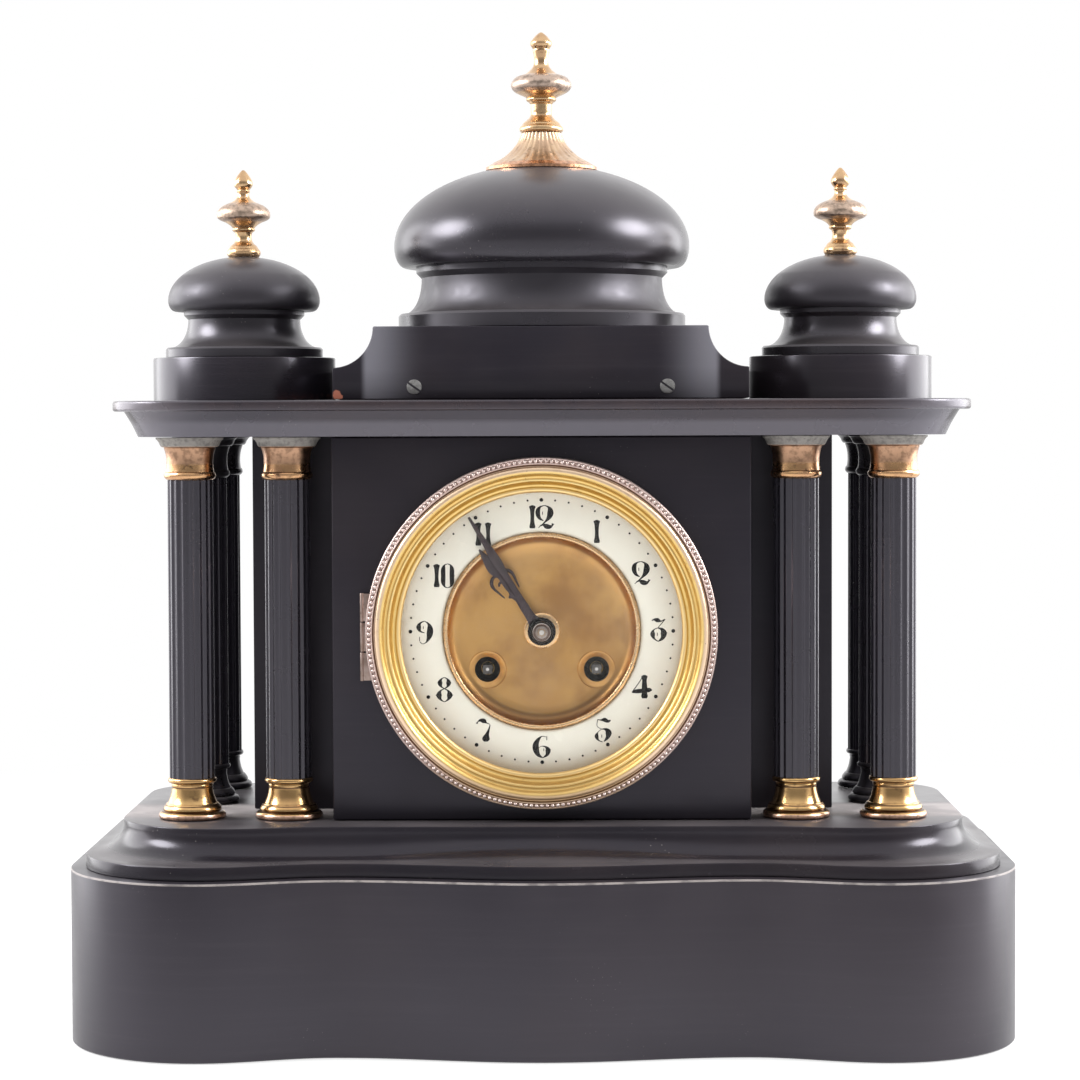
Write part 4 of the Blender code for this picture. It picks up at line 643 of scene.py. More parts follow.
def bezelFinish():
    rings = [  # from, to, fade, colour
        # the first four rings are painted light: lighter on the inner lip and the bead, darker in the grooves beside
        # them
        (0.0540, 0.0573, 0.0003, (0.90, 0.66, 0.31)),
        (0.0576, 0.0598, 0.0006, (0.81, 0.58, 0.22)),
        (0.0601, 0.0610, 0.0004, (0.90, 0.68, 0.30)),
        (0.0613, 0.0620, 0.0004, (0.78, 0.54, 0.20)),
        (0.0643, 0.0660, 0.0008, (0.86, 0.64, 0.45)),
        (0.0661, 0.0665, 0.0002, (0.20, 0.11, 0.08)),
        (0.0667, 0.0700, 0.0002, (0.66, 0.52, 0.48)),
    ]
    finish, tree, shader, at = newFinish("bezelGold")
    radius = dialRadius(tree, at)
    tone = ranged(tree, cloud(tree, at, 70.0, 4.0), 0.35, 0.68)
    colour = mixed(tree, tone, (0.84, 0.61, 0.24), (0.77, 0.53, 0.19))
    for low, high, fade, ringColour in rings:
        colour = mixed(tree, band(tree, radius, low, high, fade), colour, ringColour)
    stains = ranged(tree, cloud(tree, at, 150.0, 6.0, 0.65), 0.56, 0.74)
    colour = mixed(tree, times(tree, stains, 0.25), colour, (0.40, 0.21, 0.07))
    dots = ranged(tree, specks(tree, at, 260.0), 0.03, 0.07, 0.6, 0.0)
    colour = mixed(tree, dots, colour, (0.14, 0.07, 0.03))
    rough = ranged(tree, cloud(tree, at, 240.0, 4.0), 0.3, 0.7, 0.34, 0.44, False)
    # darker and rougher towards the bottom
    darkerBelow = ranged(tree, axes(tree, at)[2], dialZ - 0.046, dialZ - 0.061)
    colour = mixed(tree, times(tree, darkerBelow, 0.50), colour, (0.40, 0.26, 0.10))
    rough = plus(tree, rough, times(tree, darkerBelow, 0.10))
    metalCoat(tree, shader, colour, rough)
    raised(tree, shader, cloud(tree, at, 700.0, 4.0), 0.10, 0.0001)
    return finish


def dialBrassFinish():
    brass = {"colour": (0.74, 0.43, 0.155), "second": (0.60, 0.33, 0.12), "stain": (0.38, 0.19, 0.08)}
    finish, tree, shader, at = newFinish("dialBrass")
    tone = ranged(tree, cloud(tree, at, 28.0, 4.0), 0.35, 0.68)
    colour = mixed(tree, tone, brass["colour"], brass["second"])
    stains = ranged(tree, cloud(tree, at, 40.0, 6.0, 0.6), 0.47, 0.70)
    colour = mixed(tree, times(tree, stains, 0.6), colour, brass["stain"])
    dots = ranged(tree, specks(tree, at, 300.0), 0.04, 0.09, 0.5, 0.0)
    colour = mixed(tree, dots, colour, brass["stain"])
    # painted shade: the lip of the dish is darkened at the bottom
    shade = band(tree, dialRadius(tree, at), 0.0340, 0.0375, 0.0014)
    shade = times(tree, shade, ranged(tree, axes(tree, at)[2], dialZ - 0.012, dialZ - 0.030))
    colour = mixed(tree, times(tree, shade, 0.75), colour, (0.16, 0.08, 0.035))
    metalCoat(tree, shader, colour, ranged(tree, cloud(tree, at, 55.0, 5.0), 0.3, 0.7, 0.34, 0.46, False))
    raised(tree, shader, cloud(tree, at, 1200.0, 4.0), 0.2, 0.00006)
    return finish


def enamelFinish():
    # the edge colour is painted shade at both edges of the ring
    enamel = {"colour": (0.86, 0.84, 0.735), "second": (0.83, 0.80, 0.70), "edge": (0.50, 0.42, 0.30)}
    finish, tree, shader, at = newFinish("chapterEnamel")
    radius = dialRadius(tree, at)
    tone = ranged(tree, cloud(tree, at, 45.0, 3.0), 0.35, 0.68)
    colour = mixed(tree, tone, enamel["colour"], enamel["second"])
    # painted shade: darker towards the outer edge, where the bezel overhangs
    edge = ranged(tree, radius, 0.0535, 0.0575)
    colour = mixed(tree, times(tree, edge, 0.5), colour, enamel["edge"])
    # painted shade: a dark line round the inner edge, beside the gilt ring
    inner = ranged(tree, radius, 0.0397, 0.0408, 1.0, 0.0)
    colour = mixed(tree, times(tree, inner, 0.6), colour, enamel["edge"])
    coat(tree, shader, colour, ranged(tree, cloud(tree, at, 120.0, 3.0), 0.3, 0.7, 0.18, 0.28, False))
    raised(tree, shader, cloud(tree, at, 90.0, 3.0), 0.06, 0.0003)
    return finish


def inkFinish():
    finish, tree, shader, at = newFinish("dialInk")
    worn = ranged(tree, cloud(tree, at, 900.0, 4.0), 0.42, 0.70)
    put(tree, mixed(tree, worn, (0.005, 0.005, 0.005), (0.018, 0.016, 0.014)), shader.inputs["Base Color"])
    shader.inputs["Specular IOR Level"].default_value = 0.2
    put(tree, ranged(tree, worn, 0.0, 1.0, 0.35, 0.5, False), shader.inputs["Roughness"])
    return finish


def glassFinish():
    finish, tree, shader, at = newFinish("clearGlass")
    haze = ranged(tree, cloud(tree, at, 30.0, 4.0), 0.40, 0.75)
    put(tree, mixed(tree, haze, (0.10, 0.10, 0.10), (0.30, 0.30, 0.28)), shader.inputs["Base Color"])
    put(tree, ranged(tree, haze, 0.0, 1.0, 0.03, 0.08, False), shader.inputs["Roughness"])
    put(tree, ranged(tree, haze, 0.0, 1.0, 0.05, 0.07, False), shader.inputs["Alpha"])
    return finish


bezelGold = bezelFinish()
dialBrass = dialBrassFinish()
chapterEnamel = enamelFinish()
dialInk = inkFinish()
clearGlass = glassFinish()
print("finishes ready:", len(bpy.data.materials))

# base: serpentine plinth and the moulding over it
plinth = {
    # half width, centre, hollow, corner, back, front and back radius
    "plan": (0.1888, 0.0940, 0.0845, 0.0950, 0.0950, 0.0550, 0.0450),
    "top": 0.0695,
    "edge": 0.0005,
    "wall": 0.0160,
    "cavityTop": 0.0545,
    "hollowX": 0.0800,
}
moulding = {
    "plan": (0.1687, 0.0690, 0.0690, 0.0750, 0.0730, 0.0420, 0.0300),
    "ledge": 0.0060,
    "levels": (0.0698, 0.0750, 0.0855, 0.0880),  # bottom, fillet top, cove top, plate top
}


def wave(start, end, t):
    return start + (end - start) * (1 - math.cos(math.pi * t)) / 2


def planOutline(plan, z, steps=14):
    halfWidth, centre, hollow, corner, back, radius, backRadius = plan
    hollowX = plinth["hollowX"]
    cornerX = halfWidth - radius
    half = [(hollowX * i / steps, -wave(centre, hollow, i / steps)) for i in range(steps)]
    half += [(hollowX + (cornerX - hollowX) * i / steps, -wave(hollow, corner, i / steps)) for i in range(steps)]
    for i in range(steps + 5):
        angle = math.pi / 2 * i / (steps + 4)
        half.append((cornerX + radius * math.sin(angle), radius - corner - radius * math.cos(angle)))
    for i in range(steps + 1):
        angle = math.pi / 2 * i / steps
        alongX, alongY = backRadius * math.cos(angle), backRadius * math.sin(angle)
        half.append((halfWidth - backRadius + alongX, back - backRadius + alongY))
    outline = half + [(-px, py) for px, py in reversed(half[1:])]
    return [(px, py, z) for px, py in outline]


def shrunk(plan, distance):
    return tuple(size - distance for size in plan)


def swept(first, second, t):
    return tuple(a + (b - a) * t for a, b in zip(first, second))


edge = plinth["edge"]
inside = shrunk(plinth["plan"], plinth["wall"])
plinthLevels = [
    (plinth["cavityTop"], inside), (0.0, inside), (0.0, shrunk(plinth["plan"], edge)), (edge, plinth["plan"]),
]
for i in range(4):
    angle = math.pi / 2 * i / 3
    rounded = shrunk(plinth["plan"], edge * (1 - math.cos(angle)))
    plinthLevels.append((plinth["top"] - edge * (1 - math.sin(angle)), rounded))
stackOutlines([planOutline(plan, z) for z, plan in plinthLevels])
settle("plinthStone", plinthBlack, "case", "black_marble", "base_plinth")

fillet = shrunk(plinth["plan"], moulding["ledge"])
low, filletTop, coveTop, plateTop = moulding["levels"]
mouldingLevels = [(low, fillet), (filletTop - 0.0008, fillet), (filletTop - 0.0002, shrunk(fillet, 0.0003))]
for i in range(13):
    angle = math.pi / 2 * (1 - i / 12)
    plan = swept(moulding["plan"], shrunk(fillet, 0.0009), 1 - math.cos(angle))
    mouldingLevels.append((coveTop - (coveTop - filletTop) * math.sin(angle), plan))
for drop, inset in ((0.0006, 0.0), (0.0002, 0.0002), (0.0, 0.0006)):  # the plate's rounded edge
    mouldingLevels.append((plateTop - drop, shrunk(moulding["plan"], inset)))
stackOutlines([planOutline(plan, z) for z, plan in mouldingLevels])
settle("mouldingStone", mouldingBlack, "case", "black_marble", "base_moulding")
print("base done")

# case front and the body behind it
panel = {"halfWidth": 0.0830, "depth": 0.0120, "hole": 0.0603, "edge": 0.0007}

frontSlab = startBlock(
    (2 * panel["halfWidth"], panel["depth"], caseHigh - caseLow),
    (0.0, panelFront + panel["depth"] / 2, (caseLow + caseHigh) / 2),
    panel["edge"], 3,
)
cutWith(frontSlab, startRod(panel["hole"], 0.05, (0.0, panelFront, dialZ), 128, turn=faceOn))
settle("panelStone", panelBlack, "case", "black_marble", "case_front")
refinish("case_body", panelBlack)

# columns: fluted shaft, turned base and capital
column = {
    "places": {
        "inner": (0.1015, -0.0410), "front": (0.1403, -0.0410), "middle": (0.1403, 0.00825), "rear": (0.1403, 0.0575),
    },
    "baseHeight": 0.0160,
    "capitalHeight": 0.0170,
    "flutes": 18,
    "shaftRadius": 0.0090,
    "fluteDepth": 0.00055,
    "land": 0.20,  # part of the pitch left between two flutes
    "base": [
        [(0.0, 0.0), (12.9, 0.0)],
        [(12.9, 0.0), (13.35, 0.5), (13.4, 1.2), (13.0, 2.1), (12.2, 2.7)],
        [(12.2, 2.7), (11.3, 2.9)],
        [(11.3, 2.9), (11.6, 3.5), (11.4, 4.3), (10.8, 5.2), (10.3, 5.8)],
        [(10.3, 5.8), (9.9, 5.9)],
        [(9.9, 5.9), (9.3, 7.2), (8.7, 8.9), (8.3, 10.8), (8.15, 12.2), (8.3, 13.2)],
        [(8.3, 13.2), (8.2, 13.7), (8.7, 13.9)],
        [(8.7, 13.9), (9.45, 14.3), (9.7, 15.0), (9.5, 15.7), (9.2, 16.0)],
        [(9.2, 16.0), (0.0, 16.0)],
    ],
    "capital": [
        [(0.0, 0.0), (8.7, 0.0)],
        [(8.7, 0.0), (9.5, 0.4), (10.2, 1.3), (10.3, 2.2), (10.0, 3.0)],
        [(10.0, 3.0), (9.6, 3.3)],
        [(9.6, 3.3), (9.35, 5.0), (9.25, 7.2), (9.4, 9.4), (9.8, 11.3), (10.3, 12.8)],
        [(10.3, 12.8), (10.2, 13.1)],
        [(10.2, 13.1), (11.2, 13.3), (11.7, 13.9), (12.2, 15.0), (12.9, 16.0)],
        [(12.9, 16.0), (13.4, 16.4), (13.5, 17.0)],
        [(13.5, 17.0), (0.0, 17.0)],
    ],
}


def inMetres(runs):
    return [[tuple(size / 1000 for size in point) for point in run] for run in runs]


def flutedOutline(place, z):
    outline = []
    pitch = 2 * math.pi / column["flutes"]
    for flute in range(column["flutes"]):
        for i in range(9):
            across = i / 8
            angle = pitch * (flute + column["land"] / 2 + (1 - column["land"]) * across)
            radius = column["shaftRadius"] - column["fluteDepth"] * math.sin(math.pi * across) ** 0.8
            outline.append((place[0] + radius * math.cos(angle), place[1] + radius * math.sin(angle), z))
    return outline


baseTop = caseLow + column["baseHeight"]
capitalLow = caseHigh - column["capitalHeight"]
firstShaft = firstBase = firstCapital = None
for side, sign in (("left", -1), ("right", 1)):
    for row, (columnX, columnY) in column["places"].items():
        label = side + row.capitalize()
        node = side + "_" + row
        place = (sign * columnX, columnY)
        if firstShaft is None:
            firstPlace = place
            stackOutlines([flutedOutline(place, baseTop - 0.0001), flutedOutline(place, capitalLow + 0.0001)])
            firstShaft = settle(label + "Shaft", shaftBlack, "case", "black_marble", node + "_shaft", sharp=50)
            turnUpright(softLine(inMetres(column["base"])), (*place, caseLow), 56)
            firstBase = settle(label + "Base", baseBrass, "case", "gilt_brass", node + "_base")
            turnUpright(softLine(inMetres(column["capital"])), (*place, capitalLow), 56)
            firstCapital = settle(label + "Capital", capitalBrass, "case", "gilt_brass", node + "_capital")
        else:
            shift = (place[0] - firstPlace[0], place[1] - firstPlace[1], 0.0)
            copyTo(firstShaft, label + "Shaft", shift, node + "_shaft")
            newBase = copyTo(firstBase, label + "Base", shift, node + "_base")
            newCapital = copyTo(firstCapital, label + "Capital", shift, node + "_capital")
            if row in ("middle", "rear"):
                for trim in (newBase, newCapital):
                    trim.data.materials[0] = trimBlack
print("columns done")

# cornice, attic block and its screws
cornice = {
    "plan": (0.1716, 0.0695, 0.0695, 0.0695, 0.0850, 0.0350, 0.0350),
    "low": 0.2406, "slabLow": 0.2507, "top": 0.2549, "round": 0.0011, "splayFoot": 0.0100, "splayTop": 0.0045,
}
attic = {
    "halfWidth": 0.0823, "shoulder": 0.01605, "shoulderHeight": 0.0125, "height": 0.0288,
    "low": 0.2552, "back": 0.0680, "edge": 0.0006,
}
screw = {
    "x": 0.0500, "z": 0.2600, "radius": 0.0030, "length": 0.0040, "proud": 0.0004, "edge": 0.0004,
    "slot": (0.0120, 0.0016, 0.0008), "slotTurn": 35,
}

corniceLevels = []
for i in range(9):
    t = i / 8
    splay = cornice["splayFoot"] + (cornice["splayTop"] - cornice["splayFoot"]) * t
    depth = splay + 0.0003 * math.sin(math.pi * t)  # a slight hollow
    corniceLevels.append((cornice["low"] + (cornice["slabLow"] - cornice["low"]) * t, depth))
for i in range(5):
    angle = math.pi / 2 * i / 4
    lift, depth = (cornice["round"] * (1 - part) for part in (math.cos(angle), math.sin(angle)))
    corniceLevels.append((cornice["slabLow"] + lift, depth))
for i in range(5):
    angle = math.pi / 2 * i / 4
    drop, depth = (cornice["round"] * (1 - part) for part in (math.sin(angle), math.cos(angle)))
    corniceLevels.append((cornice["top"] - drop, depth))
stackOutlines([planOutline(shrunk(cornice["plan"], depth), z, 10) for z, depth in corniceLevels])
settle("corniceStone", corniceBlack, "case", "black_marble", "cornice")

atticHalf = [(attic["halfWidth"], 0.0)]
for i in range(17):
    angle = math.pi / 2 * (1 - i / 16)
    drop = (attic["height"] - attic["shoulderHeight"]) * math.sin(angle)
    atticHalf.append((attic["halfWidth"] - attic["shoulder"] * math.cos(angle), attic["height"] - drop))
atticLine = atticHalf + [(-px, pz) for px, pz in reversed(atticHalf)]
extrudeOutline([(px, panelFront, attic["low"] + pz) for px, pz in atticLine], (0.0, attic["back"] - panelFront, 0.0))
softenEdges(attic["edge"], 2, 50)
settle("atticStone", atticBlack, "case", "black_marble", "attic_block")

headFace = (-screw["x"], panelFront - screw["proud"], screw["z"])
headMiddle = (headFace[0], headFace[1] + screw["length"] / 2, headFace[2])
head = startRod(screw["radius"], screw["length"], headMiddle, 32, screw["edge"], faceOn)
cutWith(head, startBlock(screw["slot"], headFace, turn=(0, math.radians(screw["slotTurn"]), 0)))
leftScrew = settle("leftScrew", screwSteel, "case", "bright_steel")
copyTo(leftScrew, "rightScrew", (2 * screw["x"], 0.0, 0.0))
print("cornice and attic done")

# domes, drums, skirt and finials
dome = {
    "radius": 0.0610, "rise": 0.0336, "lip": 0.0086, "lipInset": 0.0046, "neck": 0.0497, "neckHeight": 0.0191,
    "disc": 0.0593, "discHeight": 0.0063, "seat": 0.0230, "low": 0.2843,
}
sideDome = {
    "radius": 0.0313, "rise": 0.0182, "lip": 0.0044, "lipInset": 0.0030, "neck": 0.0231, "neckHeight": 0.0150,
    "disc": 0.0324, "discHeight": 0.0040, "seat": 0.0070, "low": 0.2731,
}
drum = {"radius": 0.0376, "height": 0.0176, "low": 0.2552, "edge": 0.0006}
skirt = {
    "low": 0.3497, "leaves": 30, "relief": 0.0005, "rim": 0.0230,
    "line": [(23.0, 1.2), (19.9, 3.1), (15.7, 5.4), (12.4, 8.3), (9.8, 11.6), (8.2, 15.3)],
}
finialLow, sideFinialLow = 0.3653, 0.3145
# radius and height of the turnings, in millimetres
finial = [
    [(0.0, 0.0), (8.3, 0.0)],
    [(8.3, 0.0), (8.9, 0.6), (9.1, 1.5), (8.8, 2.3), (8.2, 2.9)],
    [(8.2, 2.9), (7.9, 3.3)],
    [(7.9, 3.3), (7.6, 3.8), (7.1, 4.3), (5.9, 5.3), (4.9, 6.3), (4.4, 7.2), (4.3, 9.0), (4.3, 11.6)],
    [(4.3, 11.6), (4.9, 12.1)],
    [(4.9, 12.1), (5.0, 12.4)],
    [(5.0, 12.4), (5.9, 12.9), (6.25, 13.6), (6.0, 14.3)],
    [(6.0, 14.3), (6.6, 14.6)],
    [(6.6, 14.6), (7.4, 15.0), (9.0, 15.7), (10.8, 16.7), (12.1, 18.0), (12.5, 19.05), (12.4, 20.2), (11.9, 21.2),
     (10.6, 22.6), (8.2, 23.6)],
    [(8.2, 23.6), (6.7, 24.0)],
    [(6.7, 24.0), (5.4, 25.0), (4.1, 26.2), (3.3, 27.4), (2.9, 29.0), (2.86, 30.6), (3.1, 32.1), (3.45, 33.6)],
    [(3.45, 33.6), (3.35, 34.3)],
    [(3.35, 34.3), (3.6, 34.7), (4.2, 35.6), (4.5, 36.6), (4.3, 37.4), (3.7, 38.2), (2.7, 39.4), (1.5, 40.5),
     (0.45, 41.2), (0.0, 41.3)],
]
sideFinial = [
    [(0.0, 0.0), (6.2, 0.0)],
    [(6.2, 0.0), (6.8, 0.9), (7.0, 1.9), (6.6, 3.0)],
    [(6.6, 3.0), (6.2, 3.4)],
    [(6.2, 3.4), (5.35, 4.7), (4.1, 5.8), (3.5, 6.9), (3.26, 8.1), (3.35, 9.4), (3.6, 10.2)],
    [(3.6, 10.2), (4.3, 10.6)],
    [(4.3, 10.6), (4.75, 11.3), (4.5, 12.0)],
    [(4.5, 12.0), (5.4, 13.0), (7.6, 14.4), (10.0, 15.5), (10.8, 16.2), (11.0, 17.0), (10.9, 18.4), (10.2, 19.7),
     (8.6, 21.1), (6.2, 22.2)],
    [(6.2, 22.2), (5.2, 22.6)],
    [(5.2, 22.6), (3.9, 23.4), (2.85, 24.4), (2.4, 25.6), (2.4, 26.6)],
    [(2.4, 26.6), (2.75, 27.2), (2.5, 27.8)],
    [(2.5, 27.8), (3.3, 28.7), (3.85, 29.8), (3.8, 31.0), (3.2, 32.4), (2.3, 33.8), (1.2, 35.2), (0.4, 35.9),
     (0.0, 36.0)],
]


def domeLine(shape):
    discTop = shape["discHeight"]
    neckTop = discTop + shape["neckHeight"]
    widest = neckTop + shape["lip"]
    step = (shape["radius"] - shape["lipInset"] - shape["neck"]) / 3
    topAngle = math.acos(shape["seat"] / shape["radius"])
    line = [(0.0, widest + shape["rise"] * math.sin(topAngle))]
    for i in range(21):
        angle = topAngle * (1 - i / 20)
        line.append((shape["radius"] * math.cos(angle), widest + shape["rise"] * math.sin(angle)))
    for i in range(1, 11):
        angle = math.pi / 2 * i / 10
        inset = shape["lipInset"] * (1 - math.cos(angle))
        line.append((shape["radius"] - inset, widest - shape["lip"] * math.sin(angle)))
    line += [(shape["neck"] + step, neckTop), (shape["neck"] + step, neckTop - step)]
    coveTop = neckTop - 2 * step
    for i in range(13):
        angle = math.pi / 2 * i / 12
        flare = (shape["disc"] - step - shape["neck"]) * (1 - math.cos(angle))
        line.append((shape["neck"] + flare, coveTop - (coveTop - discTop) * math.sin(angle)))
    line += [(shape["disc"] - step * 0.35, discTop - step * 0.05), (shape["disc"], discTop - step * 0.5)]
    return line + [(shape["disc"], 0.0), (0.0, 0.0)]


turnUpright(domeLine(dome), (0.0, domeY, dome["low"]), 128)
settle("domeStone", domeBlack, "case", "black_marble", "dome", sharp=30)

skirtOutlines = []
for i, (radius, height) in enumerate(softRun(inMetres([skirt["line"]])[0], 3)):
    relief = skirt["relief"] * min(1.0, i / 3) * (0.4 + 0.6 * radius / skirt["rim"])
    outline = []
    for k in range(skirt["leaves"] * 6):
        turn = 2 * math.pi * k / (skirt["leaves"] * 6)
        fold = abs(math.sin(turn * skirt["leaves"] / 2)) ** 0.6
        along = radius - relief * (1 - fold)
        outline.append((along * math.cos(turn), domeY + along * math.sin(turn), skirt["low"] + height))
    skirtOutlines.append(outline)
rimOutline = [(px, py, skirt["low"]) for px, py, pz in skirtOutlines[0]]
stackOutlines([rimOutline] + skirtOutlines)
settle("skirtLeaves", skirtGilt, "case", "gilt_brass", "dome_skirt", sharp=50)

turnUpright(softLine(inMetres(finial)), (0.0, domeY, finialLow), 64)
settle("finialCentre", finialGilt, "case", "gilt_brass", "dome_finial")

radius, height, edge = drum["radius"], drum["height"], drum["edge"]
drumLine = [
    (0.0, height), (radius - edge, height), (radius - edge * 0.3, height - edge * 0.3), (radius, height - edge),
    (radius, 0.0), (0.0, 0.0),
]
turnUpright(drumLine, (-drumX, domeY, drum["low"]), 96)
leftDrum = settle("leftDrumStone", drumBlack, "case", "black_marble", "left_drum")
turnUpright(domeLine(sideDome), (-drumX, domeY, sideDome["low"]), 96)
leftDome = settle("leftDomeStone", domeBlack, "case", "black_marble", "left_dome", sharp=30)
turnUpright(softLine(inMetres(sideFinial)), (-drumX, domeY, sideFinialLow), 56)
leftFinial = settle("leftFinialGilt", sideFinialGilt, "case", "gilt_brass", "left_finial")
across = (2 * drumX, 0.0, 0.0)
copyTo(leftDrum, "rightDrumStone", across, "right_drum")
copyTo(leftDome, "rightDomeStone", across, "right_dome")
copyTo(leftFinial, "rightFinialGilt", across, "right_finial")
print("domes done")

# dial: pan, dish, gilt ring, chapter ring
dial = {
    "flange": 0.0695, "flangeFront": 0.0019, "seat": 0.0003, "wall": 0.0600, "wallInner": 0.0588,
    "floor": -0.0106, "back": -0.0112, "opening": 0.0345, "hole": 0.0034, "dishFloor": -0.0098, "dishBack": -0.0105,
    "windingX": 0.0218, "windingDrop": 0.0155, "windingHole": 0.0074,
}

turnDial([
    (dial["flange"], dial["flangeFront"]), (dial["flange"], dial["seat"]),
    (dial["wall"], dial["seat"]), (dial["wall"], dial["back"]),
    (dial["opening"], dial["back"]), (dial["opening"], dial["floor"]),
    (dial["wallInner"], dial["floor"]), (dial["wallInner"], dial["flangeFront"]),
], 128, closed=True)
settle("panShell", movementBrass, "case", "aged_brass", "dial_pan")

dishRise = softRun([(0.0330, -0.0096), (0.0352, -0.0088), (0.0366, -0.0074), (0.0373, -0.0062)], 4)
turnDial([
    (dial["hole"], dial["dishFloor"]), (0.0300, dial["dishFloor"]), *((point[0], point[1]) for point in dishRise),
    (0.0373, dial["dishBack"]), (dial["hole"], dial["dishBack"]),
], 128, closed=True)
dish = bpy.context.object
for sign in (-1, 1):
    place = (sign * dial["windingX"], panelFront + 0.0100, dialZ - dial["windingDrop"])
    cutWith(dish, startRod(dial["windingHole"], 0.01, place, 48, turn=faceOn))
settle("dialDish", dialBrass, "case", "aged_brass")

turnDial(softLine([
    [(0.0372, -0.0104), (0.0372, -0.0066)],
    [(0.0372, -0.0066), (0.0376, -0.0057), (0.0383, -0.0054), (0.0389, -0.0056), (0.0393, -0.0064)],
    [(0.0393, -0.0064), (0.0393, -0.0104)],
], 5), 128, closed=True)
settle("giltRing", ringGilt, "case", "gilt_brass")

# radius and height proud of the panel
grommet = [
    (0.0049, -0.0116), (0.0049, -0.0110), (0.0055, -0.0106), (0.0064, -0.0100),
    (0.0070, -0.0096), (0.0074, -0.0095), (0.0077, -0.0098), (0.0077, -0.0116),
]
# a near-black tube behind each winding hole, painted shade so that the holes read dark
holeShadeTube = [
    (0.0050, -0.0108), (0.0050, -0.0168), (0.0027, -0.0168), (0.0027, -0.0164), (0.0047, -0.0164), (0.0047, -0.0108),
]
collar = [
    (0.0034, -0.0104), (0.0034, -0.0092), (0.0060, -0.0091), (0.0068, -0.0093), (0.0072, -0.0097), (0.0072, -0.0104),
]
for side, sign in (("left", -1), ("right", 1)):
    hub = (sign * dial["windingX"], -dial["windingDrop"])
    turnDial(grommet, 48, closed=True, hub=hub)
    settle(side + "Grommet", dialBrass, "case", "gilt_brass")
    turnDial(holeShadeTube, 32, closed=True, hub=hub)
    settle(side + "HoleShadeTube", holeShade, "case", "dark_steel")
turnDial(collar, 64, closed=True)
settle("handCollar", ringGilt, "case", "gilt_brass")

turnDial(softLine([
    [(0.0395, -0.0097), (0.0395, -0.0069)],
    [(0.0395, -0.0069), (0.0398, -0.0065), (0.0410, -0.00635)],
    [(0.0410, -0.00635), (0.0470, -0.0062), (0.0540, -0.0064), (0.0585, -0.0068)],
    [(0.0585, -0.0068), (0.0585, -0.0097)],
], 6), 160, closed=True)
settle("chapterRing", chapterEnamel, "case", "white_enamel", "chapter_ring")

def bothSides(stroke):
    return [stroke, [(-px, pz, half) for px, pz, half in stroke]]


